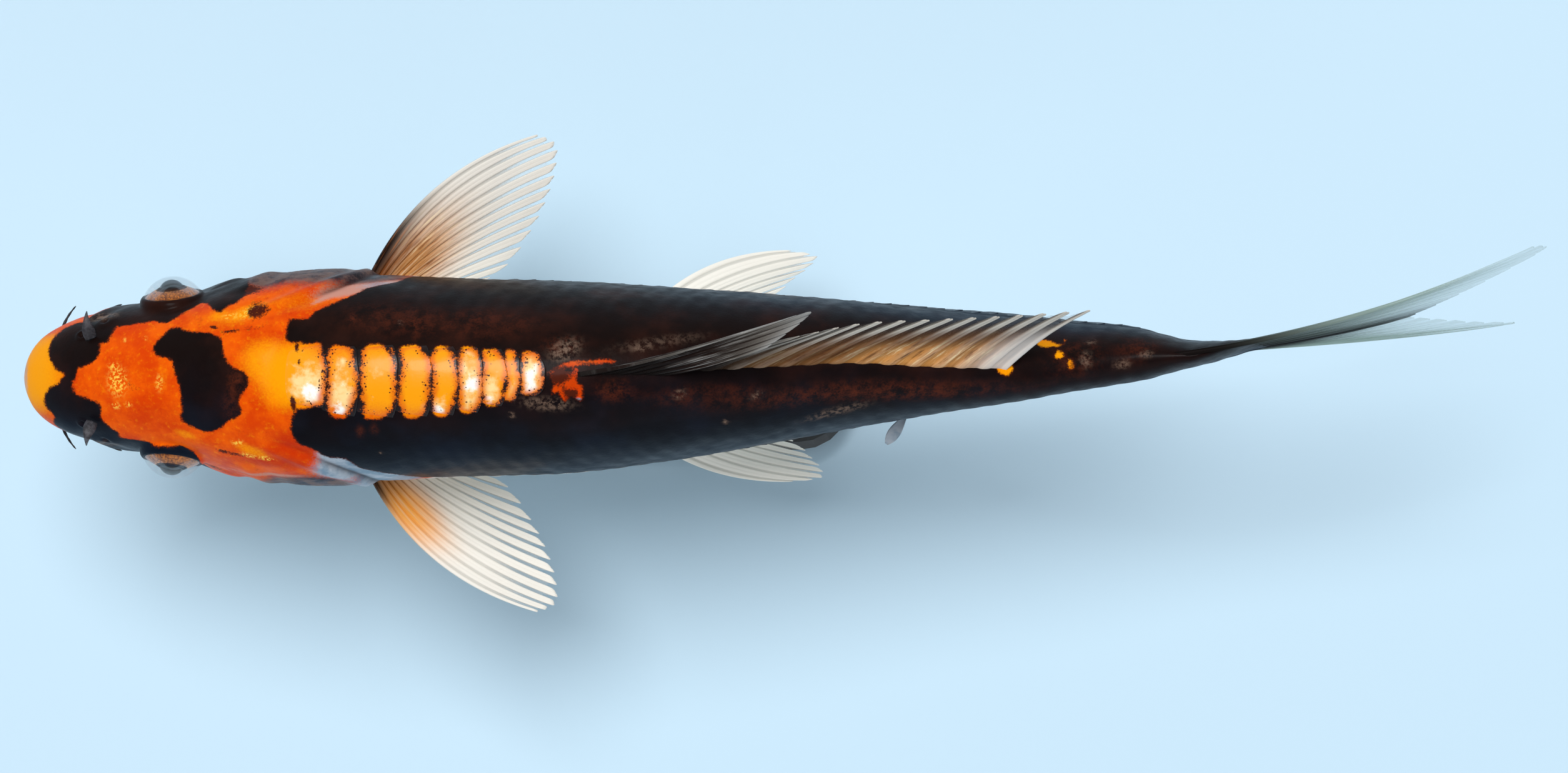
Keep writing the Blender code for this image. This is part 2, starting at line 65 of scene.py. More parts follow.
# Distance from the snout, half width, top, widest level and bottom, as shares of the length.
SECTIONS = np.array([
    (0, 0, -0.004, -0.004, -0.004), (0.01, 0.03, 0.021, -0.005, -0.027),
    (0.035, 0.0478, 0.0455, -0.004, -0.048), (0.075, 0.0606, 0.068, -0.002, -0.067),
    (0.13, 0.0722, 0.091, 0, -0.086), (0.2, 0.0895, 0.1135, 0.002, -0.104),
    (0.26, 0.094, 0.1275, 0.004, -0.115), (0.36, 0.0876, 0.1395, 0.008, -0.1235),
    (0.48, 0.0832, 0.144, 0.01, -0.1245), (0.6, 0.0712, 0.131, 0.01, -0.111),
    (0.72, 0.0552, 0.106, 0.008, -0.09), (0.82, 0.0412, 0.081, 0.005, -0.071),
    (0.9, 0.0306, 0.063, 0.003, -0.059), (0.955, 0.0246, 0.0575, 0.001, -0.056),
    (1, 0.0136, 0.059, 0, -0.059), (1.02, 0.0108, 0.06, 0, -0.059), (1.04, 0.0074, 0.057, 0, -0.054),
    (1.06, 0.0044, 0.038, 0, -0.036), (1.083, 0.0026, 0.008, 0, -0.008),
])

# Eyes: the ball's radius, its bulge along the axis and where its axis points on the right.
EYE_RADIUS, CORNEA_BULGE = 4.85, 1.06
EYE_AXIS = (-0.10, 0.97, 0.20)

# The mouth's arc: its front, how far its corners lie back, and its half width.
MOUTH_FRONT, MOUTH_DEPTH, MOUTH_HALF = 1.0, 4.6, 4.4
LIP_RADIUS, LIP_SPACING = 1.05, 1.12

SIDES = {"right": 1, "left": -1}


def to_world(points):
    """Points in millimetres from snout, midline and axis, in metres in the model's frame."""
    return np.asarray(points, float) * MM + SNOUT


def middle_of(node):
    low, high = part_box(node)
    return (np.array((low + high) / 2, float) - SNOUT) / MM


def eye_axis(side):
    return unit(np.array(EYE_AXIS) * [1, SIDES[side], 1])


# ---------------------------------------------------------------- curves and fields
def smooth(t, knots, values):
    """A smooth curve through the knots, by cubic Hermite pieces with averaged slopes."""
    knots, values = np.asarray(knots, float), np.asarray(values, float)
    more = [1] * (values.ndim - 1)
    steps = np.diff(values, axis=0) / np.diff(knots).reshape(-1, *more)
    slopes = np.concatenate([steps[:1], (steps[:-1] + steps[1:]) / 2, steps[-1:]])
    t = np.clip(np.asarray(t, float), knots[0], knots[-1])
    i = np.clip(np.searchsorted(knots, t, side="right") - 1, 0, len(knots) - 2)
    span = (knots[i + 1] - knots[i]).reshape(*i.shape, *more)
    s = (t - knots[i]).reshape(span.shape) / span
    return (
        (2 * s**3 - 3 * s**2 + 1) * values[i]
        + (s**3 - 2 * s**2 + s) * span * slopes[i]
        + (3 * s**2 - 2 * s**3) * values[i + 1]
        + (s**3 - s**2) * span * slopes[i + 1]
    )


def through(points, a):
    """The point at share a of a smooth curve through evenly spaced points."""
    return smooth(a, np.linspace(0, 1, len(points)), points)


def round_outline(points, steps=4):
    """A closed outline through the points, rounded between them."""
    closed = np.asarray([*points[-2:], *points, *points[:3]], float)
    t = np.arange(2 * steps, (len(points) + 2) * steps) / steps
    return smooth(t, np.arange(len(closed)), closed)


def bend_through(start, bend, end, t):
    """A curve from start to end that leans towards the bend."""
    start, bend, end = (np.asarray(point, float) for point in (start, bend, end))
    return (1 - t) ** 2 * start + 2 * t * (1 - t) * bend + t**2 * end


def step_up(value, low, high):
    """0 below low, 1 above high, and smooth between them."""
    s = np.clip((np.asarray(value, float) - low) / (high - low), 0, 1)
    return s * s * (3 - 2 * s)


def bell(value, width):
    return np.exp(-((np.asarray(value, float) / width) ** 2))


def smooth_max(a, b, blend):
    share = np.clip(0.5 + (a - b) / (2 * blend), 0, 1)
    return a * share + b * (1 - share) + blend * share * (1 - share)


def length_of(vectors):
    return np.linalg.norm(vectors, axis=-1)


def unit(vectors):
    return vectors / length_of(vectors)[..., None]


def level_frame(along):
    """Two directions square to a unit direction, the first of them level."""
    side = unit(np.cross(along, [0, 0, 1.0]))
    return side, np.cross(side, along)


def grid(rows, columns):
    """Shares along from 0 to 1 and across from -1 to 1, over a grid of points."""
    return np.meshgrid(np.linspace(0, 1, rows), np.linspace(-1, 1, columns), indexing="ij")


def path_distance(points, path):
    """Distance of each point from a path of straight runs."""
    nearest = np.full(points.shape[:-1], np.inf)
    for start, end in zip(path[:-1], path[1:]):
        run = end - start
        share = np.clip((points - start) @ run / (run @ run), 0, 1)
        nearest = np.minimum(nearest, length_of(points - start - share[..., None] * run))
    return nearest


FAR = 3.0  # the distance from an outline's edge past which depths are not told apart


def depth_inside(outline, x, y):
    """How deep each place lies inside a closed outline; negative outside."""
    depth = np.full(x.shape, -FAR)
    low, high = outline.min(0) - FAR, outline.max(0) + FAR
    near = (x > low[0]) & (x < high[0]) & (y > low[1]) & (y < high[1])
    px, py = x[near], y[near]
    gap, inside = np.full(px.shape, np.inf), np.zeros(px.shape, bool)
    for (ax, ay), (bx, by) in zip(outline, np.roll(outline, -1, axis=0)):
        dx, dy = bx - ax, by - ay
        share = np.clip(((px - ax) * dx + (py - ay) * dy) / (dx * dx + dy * dy), 0, 1)
        gap = np.minimum(gap, np.hypot(px - ax - share * dx, py - ay - share * dy))
        if dy:
            inside ^= ((ay > py) != (by > py)) & (px < ax + dx * (py - ay) / dy)
    depth[near] = np.clip(np.where(inside, gap, -gap), -FAR, FAR)
    return depth


def patches(rows, x, y):
    """The joint strength of soft patches: place, half length, half width, strength and turn."""
    clear = np.ones(np.broadcast(x, y).shape)
    for at_x, at_y, long, wide, strength, *turn in rows:
        turn = math.radians(turn[0]) if turn else 0.0
        cos, sin = math.cos(turn), math.sin(turn)
        dx, dy = x - at_x, y - at_y
        out = np.hypot((dx * cos + dy * sin) / long, (dy * cos - dx * sin) / wide)
        clear *= 1 - strength * np.exp(-(out**3))
    return 1 - clear


def lumps(points, size, seed):
    """Smooth noise between -1 and 1, with lumps of about that size in millimetres."""
    flat = points.reshape(-1, 3) / size + seed * 17.3
    return np.array([noise.noise(Vector(p)) for p in flat.tolist()]).reshape(points.shape[:-1])


# ---------------------------------------------------------------- body surface
def sections(x):
    """Half width, top, widest level and bottom of the body at x."""
    found = smooth(np.sqrt(np.asarray(x) / LENGTH), np.sqrt(SECTIONS[:, 0]), SECTIONS[:, 1:])
    return np.moveaxis(found * LENGTH, -1, 0)


def spine_y(x):
    past = np.maximum(x - LENGTH, 0)
    swept = TAIL_SWEEP * step_up(x / LENGTH, SWEEP_START, SWEEP_START + SWEEP_SPAN)
    return swept + 0.08 * past + 0.0025 * past**2


def lean(x):
    u = x / LENGTH
    return -STALK_LEAN * step_up(u, 0.68, 0.88) * (1 - 0.8 * step_up(u, 0.86, 1.0))


def body_point(x, angle, grow):
    """Points of the body's surface. The angle runs from the fish's right over its back."""
    x, angle = np.broadcast_arrays(x, angle)
    wide, top, level, bottom = sections(x)
    cos, sin = np.cos(angle), np.sin(angle)
    power = 2 / np.where(sin >= 0, TOP_ROUND, BELLY_ROUND)
    height = np.where(sin >= 0, top - level, level - bottom)
    y = np.maximum(wide + grow, 0) * np.sign(cos) * np.abs(cos) ** power
    z = level + np.maximum(height + grow, 0) * np.sign(sin) * np.abs(sin) ** power
    over_fin = 0.02 * np.maximum(x - LENGTH, 0) * np.maximum(z, 0)
    return np.stack([x, y + spine_y(x) + lean(x) * z + over_fin, z], -1)


def arch(off, wide, height, power):
    """Height of a half section over its widest level, at a distance from its middle."""
    return height * (1 - np.clip(np.abs(off) / wide, 0, 1) ** power) ** (1 / power)


def back_point(x, y):
    """The point of the body's upper side over (x, y)."""
    wide, top, level, _ = sections(x)
    return np.array([x, y, level + arch(y - spine_y(x), wide, top - level, TOP_ROUND)])


def mouth_path(shift):
    """The mouth's arc under the snout, moved back by shift."""
    y = np.linspace(-MOUTH_HALF, MOUTH_HALF, 25)
    x = MOUTH_FRONT + MOUTH_DEPTH * (y / MOUTH_HALF) ** 2
    wide, _, level, bottom = sections(x)
    z = level - arch(y, wide, level - bottom, BELLY_ROUND)
    steepness = 1.4 - 0.4 * (y / MOUTH_HALF) ** 2
    return np.stack([x + 0.65 * shift, y, z - steepness * shift], -1)


def around(points):
    """Outward directions of a grid of points that closes on itself across its columns."""
    across = np.roll(points, -1, 1) - np.roll(points, 1, 1)
    return unit(np.cross(across, np.gradient(points, axis=0)))


# Spacing of the skin's rings, in millimetres, at distances from the snout.
RING_AT, RING_STEP = (0, 2, 40, 60, 165, 184), (0.06, 0.20, 0.24, 0.42, 0.62, 0.50)
BELLY_COLUMNS, BACK_COLUMNS = 42, 118  # columns in each lower quarter and over the back


def stations():
    found = [0.008]
    while found[-1] < SKIN_END:
        found.append(found[-1] + np.interp(found[-1], RING_AT, RING_STEP))
    return np.array([*found[:-1], SKIN_END])


def column_angles():
    """Angles round the body, from the belly over the right side, the back and the left."""
    quarter = math.pi / 2
    runs = (-quarter, 0, BELLY_COLUMNS), (0, math.pi, BACK_COLUMNS), (math.pi, 3 * quarter, BELLY_COLUMNS)
    return np.concatenate([np.linspace(*run, endpoint=False) for run in runs])


# The rear edge of the gill cover: degrees over the fish's side, and distance from the snout.
GILL_EDGE_ANGLE = (-90, -75, -60, -45, -25, -8, 8, 25, 40, 54)
GILL_EDGE_X = (28, 31.5, 38, 44, 49, 51.2, 51, 48.2, 43.5, 37.5)
# Seen from the side, as (x, z): where the fine ridges of the gill cover fan out from, the ridge
# of the cheek behind the eye, and the line of the small bones before the eye and under it.
GILL_PIVOT = (33.0, 7.0)
CHEEK_RIDGE = np.array([(33.5, 9), (36, 3), (35.5, -4), (31.5, -10), (23, -13.5)])
ORBIT_LINE = np.array([(11, 3), (14, -1.5), (18.5, -4.5), (23.5, -5), (28, -2.5), (30.5, 2)])
# Nostrils: the rear pair's places on the back, and the small front pair's.
NOSTRILS_REAR = ((12.3, 8.3), (12.3, -9.3))
NOSTRILS_FRONT = ((9.0, 6.3), (9.1, -6.9))


def side_angle(angle):
    """Degrees over the level of the body's side, from -90 at the belly to 90 on the back."""
    return np.degrees(np.arcsin(np.clip(np.sin(angle), -1, 1)))


def gill_depth(points, angle):
    """Distance ahead of the gill cover's rear edge, in millimetres."""
    edge = smooth(side_angle(angle), GILL_EDGE_ANGLE, GILL_EDGE_X)
    spacing = np.maximum(length_of(np.gradient(points, axis=1)), 1e-6)
    return (edge - points[..., 0]) / np.sqrt(1 + (np.gradient(edge, axis=1) / spacing) ** 2)


def gill_relief(points, up, ahead):
    """The flap of the gill cover, the groove behind it and the fine ridges that fan over it."""
    x, _, z = np.moveaxis(points, -1, 0)
    shown = step_up(-up, -56, -46) * step_up(x, 24, 30)
    flap = 0.40 * np.exp(-np.maximum(ahead, 0) / 6.0)
    groove = -0.50 * np.exp(np.minimum(ahead, 0) / 1.8)
    soft = 0.45 + 1.0 * step_up(-up, -25, 20)
    over = step_up(ahead / soft, -1, 1)
    relief = shown * (flap * over + groove * (1 - over))
    relief += shown * (0.16 * bell(ahead - 1.3, 0.6) - 0.14 * bell(ahead - 3.0, 0.9))
    fan = np.arctan2(z - GILL_PIVOT[1], x - GILL_PIVOT[0])
    plate = step_up(x, 36, 40) * step_up(ahead, 2.5, 5) * step_up(-up, -46, -36) * step_up(up, -62, -50)
    return relief + 0.035 * np.sin(46 * fan) * plate


def mouth_relief(points):
    """Lips, the gape between them, the fold over the upper one and the chin."""
    upper, lower, gape = (path_distance(points, mouth_path(s * LIP_SPACING)) for s in (-0.1, 1.9, 0.9))
    lips = [np.maximum(1 - (lip / (1.15 * LIP_RADIUS)) ** 2, 0) ** 0.6 for lip in (upper, lower)]
    fold = bell(upper - 1.75, 0.38) * step_up(points[:, 2], -6, -2)
    chin = bell(lower - 1.8, 0.5) * step_up(-points[:, 2], 4, 6)
    return 0.85 * np.maximum(*lips) - 0.9 * bell(gape, 0.30) - 0.30 * fold - 0.25 * chin


def head_relief(points, angle):
    """Height of the head's ridges and grooves over the plain body."""
    x, y, _ = np.moveaxis(points, -1, 0)
    up = side_angle(angle)
    relief = gill_relief(points, up, gill_depth(points, angle))

    cheek, orbit = (path_distance(points[..., [0, 2]], line) for line in (CHEEK_RIDGE, ORBIT_LINE))
    relief += 0.22 * bell(cheek, 1.4) - 0.14 * bell(cheek - 2.6, 1.3) * step_up(x, 27, 29)
    relief += 0.22 * bell(orbit, 1.1) - 0.14 * bell(orbit - 2.2, 1.0)
    # The nape's groove, two ridges along the skull and the furrow between them.
    relief -= 0.22 * bell(x - 37.5 - 0.06 * y**2, 1.6) * step_up(up, 50, 66)
    relief += 0.16 * bell(np.abs(y) - 3.6, 1.6) * bell(x - 26, 9) * step_up(up, 50, 70)
    relief -= 0.12 * bell(y, 1.5) * bell(x - 22, 9) * step_up(up, 50, 70)

    near = x < 14
    relief[near] += mouth_relief(points[near])
    for place in NOSTRILS_REAR:
        out = length_of((points - back_point(*place)) / [1.45, 1.15, 1.15])
        relief += 0.42 * bell(out, 1.05) - 0.75 * bell(out, 0.42)
    for place in NOSTRILS_FRONT:
        out = length_of(points - back_point(*place))
        relief += 0.22 * bell(out - 0.75, 0.3) - 0.6 * bell(out, 0.45)
    return relief


def trunk_relief(points, angle):
    """Muscle blocks, the lateral line and the fleshy bases of the fins."""
    x, _, z = np.moveaxis(points, -1, 0)
    up = side_angle(angle)
    behind = step_up(x, 50, 60)
    chevron = np.abs(z - 1.0) * 0.42
    blocks = np.sin(2 * math.pi * (x + chevron) / 3.1)
    relief = 0.035 * blocks * behind * step_up(70 - np.abs(up), 0, 25)
    relief -= 0.10 * bell(up - 4, 2.0) * behind
    for fin in FINS.values():
        if fin.base:
            height, width = fin.base
            root = through(fin.root, np.linspace(0, 1, 13)) + [ORIGIN_X, 0, 0]
            relief += height * bell(path_distance(points, root), width)
    return relief


def around_eye(points, side):
    """Moves the skin out over the eyeball, with a round opening and a brow."""
    centre = middle_of(f"eye_{side}")
    away = points - centre
    out = length_of(away)
    turn = np.degrees(np.arccos(np.clip(away @ eye_axis(side) / out, -1, 1)))
    lid = EYE_RADIUS + 0.16 + 0.16 * bell(turn - 66, 7)
    joined = smooth_max(out, lid, 0.9)
    joined = joined + (lid - joined) * step_up(-turn, -86, -66) * step_up(11 - joined, 0, 4.5)
    under = EYE_RADIUS - 0.75
    new = under + (joined - under) * step_up(turn, 55, 61)
    return np.where((out < 13)[..., None], centre + away * (new / out)[..., None], points)


class Skin:
    """The skin as a grid of points, with the way to find places on it."""

    def __init__(self):
        self.x = stations()
        angles = column_angles()
        self.angle = np.broadcast_to(angles, (len(self.x), len(angles)))
        plain = body_point(self.x[:, None], self.angle, -COAT_DEPTH)
        relief = head_relief(plain, self.angle) * step_up(60 - plain[..., 0], 0, 6)
        relief += trunk_relief(plain, self.angle)
        relief += 0.10 * lumps(plain, 7.0, 1) + 0.035 * lumps(plain, 2.0, 2)
        self.points = plain + around(plain) * relief[..., None]
        for side in SIDES:
            self.points = around_eye(self.points, side)
        self.top = BELLY_COLUMNS + BACK_COLUMNS // 2
        self.measure()

    def measure(self):
        """Works out the girth of every point, and an even copy of the grid to look places up."""
        values = np.concatenate([self.points, around(self.points)], -1)
        values = np.concatenate([values, values[:, :1]], 1)
        runs = length_of(np.diff(values[..., 1:3], axis=1))
        length = np.concatenate([np.zeros((len(self.x), 1)), np.cumsum(runs, 1)], 1)
        girth = length[:, self.top, None] - length
        self.girth = girth[:, :-1]
        self.right, self.left = girth[:, 0], -girth[:, -1]
        self.share = girth / np.where(girth > 0, self.right[:, None], self.left[:, None])
        even = np.linspace(-1, 1, 481)
        self.table = np.empty((len(self.x), len(even), values.shape[-1]))
        for i, share in enumerate(self.share[:, ::-1]):
            for k in range(values.shape[-1]):
                self.table[i, :, k] = np.interp(even, share, values[i, ::-1, k])

    def reach(self, x, girth):
        """The girth from the back to the belly on the place's own side."""
        return np.where(girth > 0, *(np.interp(x, self.x, side) for side in (self.right, self.left)))

    def unwrap(self, x, girth):
        """Places on the skin as places on its bake map."""
        return np.stack([x / SKIN_END, (girth / self.reach(x, girth) + 1) / 2], -1)

    def place(self, x, girth, height):
        """Points at that height over the skin."""
        rows, columns = self.table.shape[:2]
        i = np.clip(np.interp(x, self.x, np.arange(rows)), 0, rows - 1.001)
        j = np.clip(self.unwrap(x, girth)[..., 1], 0, 1) * (columns - 1.001)
        a, b = i.astype(int), j.astype(int)
        fi, fj = (i - a)[..., None], (j - b)[..., None]
        low = self.table[a, b] * (1 - fj) + self.table[a, b + 1] * fj
        high = self.table[a + 1, b] * (1 - fj) + self.table[a + 1, b + 1] * fj
        found = low * (1 - fi) + high * fi
        return found[..., :3] + found[..., 3:] * np.asarray(height)[..., None]

    def from_above(self, outline):
        """An outline given as (x, y) seen from above, as (x, girth) on the skin.

        A y beyond the body's edge lies as much further down the side.
        """
        found = []
        for x, y in outline:
            i = int(np.argmin(np.abs(self.x - x)))
            across = self.points[i, :, 1]
            right = int(np.argmax(across[: self.top]))
            left = self.top + int(np.argmin(across[self.top :]))
            seen = np.minimum.accumulate(across[right : left + 1])
            girth = np.interp(-y, -seen, self.girth[i, right : left + 1])
            found.append((x, float(girth + y - np.clip(y, seen[-1], seen[0]))))
        return found


# ---------------------------------------------------------------- markings
# Black markings seen from above, as (x, y); a y beyond the body's edge goes on down its side.
SPOTS = (
    (  # the snout's right side
        (4.2, 3.7), (4.6, 5.4), (5.8, 6.8), (7.8, 7.8), (9.7, 8.5), (11.9, 9.8), (14.1, 11.6),
        (16.6, 11.6), (16.7, 8.2), (14.5, 7.8), (13.2, 5.4), (12, 4.9), (12, 3.8), (11.2, 2.5),
        (9.7, 1.7), (8.6, 1.2), (8.4, 0), (7.1, -0.6), (6.6, 0.5), (5.5, 1.3), (4.7, 2.3),
    ),
    (  # the snout's left side
        (6.8, 0.2), (7.6, -0.2), (7.9, -1.4), (8.7, -2.6), (11.4, -3.5), (12, -4.6), (11.9, -5.8),
        (13.5, -7.4), (14.6, -8.8), (14.2, -11.6), (11.6, -12.4), (9.4, -10.2), (7.6, -8.5),
        (5.6, -7.6), (4.8, -6.7), (4.8, -5.3), (3.6, -4.2), (3.5, -2.7), (4.5, -1.6), (5.8, -0.9),
    ),
    (  # round the right eye
        (13.6, 7.9), (18.1, 7.9), (19.4, 8.2), (21.4, 7.9), (22.7, 8.5), (24.1, 9.3), (26, 10.2),
        (27.6, 10.8), (28.4, 10.1), (29.6, 9.4), (30.7, 10.3), (32.2, 10.9), (33.2, 12.4),
        (33.4, 14.2), (32, 16.4), (29.6, 15.2), (27.6, 17.4), (25, 20.4), (21.6, 21.6), (18.4, 19.4),
        (16.2, 15.4), (14.4, 13.4), (13, 10.8),
    ),
    (  # round the left eye
        (12.5, -8.4), (15.5, -8.9), (18.8, -9.3), (20.4, -10), (23.7, -9.9), (25.3, -10.5),
        (26.4, -11.6), (27.5, -13.2), (28.2, -14.8), (26.6, -16.6), (23.8, -18.4), (20.4, -18),
        (17.2, -15.4), (14.6, -13.8), (12.4, -12),
    ),
    (  # the crown
        (20, 4), (20.8, 5.4), (22.3, 6.9), (23.5, 7.1), (25.2, 6.6), (28.4, 6.3), (30, 5.2),
        (30.5, 3.1), (31.4, 1.6), (33.1, 0.9), (33.9, -0.1), (33.9, -1.3), (33, -2.5), (32.6, -3.8),
        (33, -5.2), (30.9, -6.4), (29.8, -7.2), (27.9, -7.9), (26.2, -7.4), (24.2, -6.1),
        (24.4, -3.7), (24, -1.5), (23.2, 0.7), (23, 2), (22.2, 2.8), (20.9, 3),
    ),
    (  # the left of the nape
        (40.9, -5), (41.6, -4.3), (42.9, -4.1), (44.1, -5), (44.6, -6.8), (43.7, -8.6), (42.3, -9.9),
        (41, -9),
    ),
)
# The black saddle over the flanks and the tail: its front on the right and on the left is seen
# from above, and its lower border between them is given by girth.
SADDLE_FRONT_RIGHT = (
    (44.8, 0), (44.8, 4.6), (41.6, 4.9), (39.6, 5.5), (39.7, 7), (40, 8.4), (42.4, 8.4), (44.5, 9.9),
    (46.9, 10.9), (48.7, 11.7), (50.5, 12.7), (52.2, 13.2), (55, 13.8),
)
SADDLE_BELOW = (
    (56.5, 24), (58, 29), (62, 34), (70, 39), (80, 41), (92, 37), (104, 36), (116, 31), (128, 29),
    (140, 26), (152, 23), (165, 22), (186, 18), (188, 0), (186, -18), (165, -22), (156, -22),
    (144, -24), (132, -25.5), (120, -27), (108, -28.5), (96, -29), (84, -28.8), (72, -29.2),
    (62, -28.4),
)
SADDLE_FRONT_LEFT = (
    (57, -14.3), (52.1, -13.6), (49.5, -12.9), (47.9, -11.8), (45.1, -11.4), (43.2, -10.3),
    (41.1, -9.4), (40.2, -7.6), (40.5, -5.7), (42, -4.2), (44.8, -3.9),
)
# Orange patches behind the row of scales and before the tail.
SHOWING = (
    (
        (77.4, 0.6), (78.6, 1.3), (80.2, 0.7), (81.6, 1.1), (81.3, -0.4), (82.1, -1.4), (81.9, -3.3),
        (80.6, -2.7), (79.6, -3.3), (78.6, -2.2), (77.8, -2.6), (77.9, -0.8),
    ),
    ((78.4, 1.7), (82, 2.4), (86.2, 2.6), (86.4, 2.1), (82, 1.7), (78.8, 1.2)),
    ((141.6, 2.2), (142.4, 3.2), (143.6, 2.4), (143.9, 0.9), (143, 0.1), (141.8, 0.7)),
    (
        (147.4, 4.9), (148.6, 5.5), (150.9, 4.8), (151.6, 5.5), (151.4, 4.8), (150.3, 4.4),
        (148.6, 4.3),
    ),
    ((150, 3), (150.7, 4), (151.5, 3.2), (151, 2.7)),
    ((152.1, 2.6), (152.6, 2.5), (152.8, 1.4), (152.3, 1.1), (151.9, 1.8)),
)
# Soft patches: (x, y) seen from above, half length, half width, strength, and turn in degrees.
# Rust and dust lie in the black. In the big scales, white is painted reflection, and cream is their paler
# part round it, partly painted highlight.
SOFT = {
    "yellow": [
        (1.5, 0, 5.5, 7, 0.85), (3.5, 5, 3, 3, 0.5, 30), (41.5, 10.6, 6, 2.6, 0.35, 10),
        (29, 8, 6, 2.6, 0.25), (36.5, 2.6, 4, 3.4, 0.6), (38.2, -1.5, 2.6, 3.6, 0.45),
        (41.6, 0.3, 3.2, 4.6, 0.85), (33.4, 9.4, 3.4, 1.3, 0.55, 30), (29.5, 9, 1.6, 1, 0.4, 30),
        (34.3, -10.6, 3.4, 1.2, 0.55, -30), (21.4, 0, 1, 3.2, 0.3), (24.5, -8.2, 2.2, 0.9, 0.5, -25),
        (60, 0, 22, 6.5, 0.95), (147, 2.5, 8, 5, 0.9),
    ],
    # Gold: flecks of painted glint, where the metallic skin of the head catches the light.
    "gold_glints": [
        (34, 9.4, 1.5, 0.8, 1, 35), (31.2, 8.8, 1.2, 0.5, 0.7, 15), (14.7, -0.6, 1.3, 1.9, 0.9),
        (14.4, -4.1, 0.6, 0.5, 0.8), (16.3, -3.9, 0.5, 0.4, 0.7), (14.1, 1.6, 0.7, 0.5, 0.7),
        (20.9, -0.8, 0.6, 1.1, 0.6), (32.2, -9.4, 0.8, 0.5, 0.9), (33.8, -11.3, 1.1, 0.5, 1, -20),
        (36.3, -11.7, 1.3, 0.4, 1, -20), (15.7, 5.4, 0.3, 0.3, 0.8), (18.7, 5.7, 0.3, 0.3, 0.8),
    ],
    "red": [
        (7, 9.5, 4, 0.9, 0.9, 25), (5, -7.4, 3.2, 1.2, 0.9, -50), (20, -5.5, 6, 3, 0.45, -10),
        (16, 0.5, 4.5, 3, 0.3), (41, -9.5, 4.5, 4, 0.75), (37.5, -12.4, 7, 1.6, 0.7, -5),
        (36, 12, 8, 1.8, 0.15, 5), (79.6, -0.8, 4, 4, 1),
    ],
    "pale": [(0.2, 0, 0.7, 6, 0.45), (81.4, -3.2, 0.8, 0.4, 0.8)],
    "pink": [
        (44.6, 11.3, 2.6, 0.5, 0.7, 42), (36.5, -14, 6, 0.9, 0.7), (44.8, -10.9, 1.8, 0.5, 0.6, -50),
        (4, -7.6, 3, 0.5, 0.6, -48),
    ],
    "brown": [
        (35.1, 9.6, 1.8, 1.7, 0.95, 20), (33.6, 12.6, 2.2, 1.8, 0.9, 10), (28.8, 7.2, 0.7, 0.35, 0.9),
        (31.3, 6.6, 1.4, 0.35, 0.9, 8), (41.1, 4.3, 0.4, 0.8, 0.9), (41.5, 2.2, 0.3, 0.5, 0.8),
        (40.6, -3.8, 0.5, 1.5, 1, 10), (31, -10.9, 2.6, 0.6, 0.8, -20),
        (28.6, -12.6, 2.8, 1.2, 0.6, -25), (17, -1.3, 1.2, 0.7, 0.5, -30),
        (28.4, 12.6, 3.4, 1, 0.5, 12), (34.6, 7.2, 3, 0.5, 0.35, 10), (78.8, 0.2, 1.9, 1.7, 1),
        (80.4, -2.4, 1.4, 1, 0.8), (80.6, 0.8, 1.4, 0.5, 0.5),
    ],
    "rust": [
        (32.2, -0.6, 1.3, 1.9, 0.8), (31.6, -4, 1.4, 2.2, 0.6), (49, 8.4, 0.5, 0.9, 0.9),
        (58.2, 7.6, 0.7, 2.4, 0.8), (54, 8.4, 6.5, 3, 0.45), (66.5, 7.8, 9, 2.8, 0.5),
        (50.2, -7.8, 0.6, 1, 0.7), (52.2, -7.4, 0.6, 0.9, 0.6), (79, 4.6, 3, 1.4, 0.6, 10),
        (86.6, -1.9, 2.6, 1.6, 0.85), (100, -2.6, 9, 1.6, 0.45), (124, -2, 20, 1.7, 0.75, 4),
        (153, 3, 4, 3, 0.5), (162, 4.4, 3, 2.2, 0.5),
    ],
    "dust": [
        (12.2, 8.7, 2, 1.3, 0.85, 15), (12.4, -9.6, 1.9, 1.2, 0.85, -15),
        (79.6, 3.9, 2.2, 1.5, 0.8, 30), (77, -3.8, 3.4, 0.9, 0.7, -5), (96, -2.4, 0.9, 0.6, 0.7, 30),
        (107, -2.6, 0.9, 0.5, 0.6, 30), (118.4, -4.9, 4.6, 1, 0.6, 22), (93, 5, 6, 0.9, 0.3, 8),
        (90.5, 4.2, 1.2, 0.5, 0.6, 8), (155.5, 5.2, 0.7, 0.6, 0.6), (154.6, 2.6, 0.8, 1.2, 0.6),
        (159.8, 1.9, 1.1, 0.7, 0.6), (163.4, 3.4, 1, 0.6, 0.5), (56, 7.8, 0.3, 0.3, 0.9),
        (52.9, -10.8, 0.25, 0.25, 0.9), (72, -5.4, 0.4, 0.4, 0.9), (102.5, -6.4, 0.4, 0.4, 0.9),
    ],
    # Cream: the big scales' paler part round the painted reflections, partly painted highlight.
    "cream": [
        (42.8, -1, 2.8, 3.4, 1), (47.6, -2.6, 2.2, 3.4, 1), (47.6, 2.2, 1, 1.4, 0.6),
        (52.8, 0.6, 1.2, 1.4, 0.45), (61, -4.2, 2, 1.6, 1), (65.8, 2.4, 1.4, 1.8, 0.7, -30),
        (66.2, -0.8, 2, 2.6, 1), (66, -3.8, 1.4, 1.4, 0.6), (69, -1.8, 1.6, 2.6, 0.95),
        (72, -1.8, 1.2, 1.8, 0.6), (75, 0, 2.2, 3.4, 1),
    ],
    # White: painted reflections on the big scales.
    "white": [
        (43.2, -2, 1.7, 1.6, 1, 30), (47.2, -4.6, 1.2, 1.6, 1, 20), (47.8, -0.6, 0.9, 1.4, 0.5),
        (61, -4.6, 1.7, 1.1, 1, 10), (66.4, -0.9, 1.5, 1.7, 1, -20), (68.8, -3.2, 1, 1, 0.8),
        (74.8, -0.6, 1.3, 2.2, 1), (75.6, 1.8, 0.8, 1, 0.7),
    ],
}
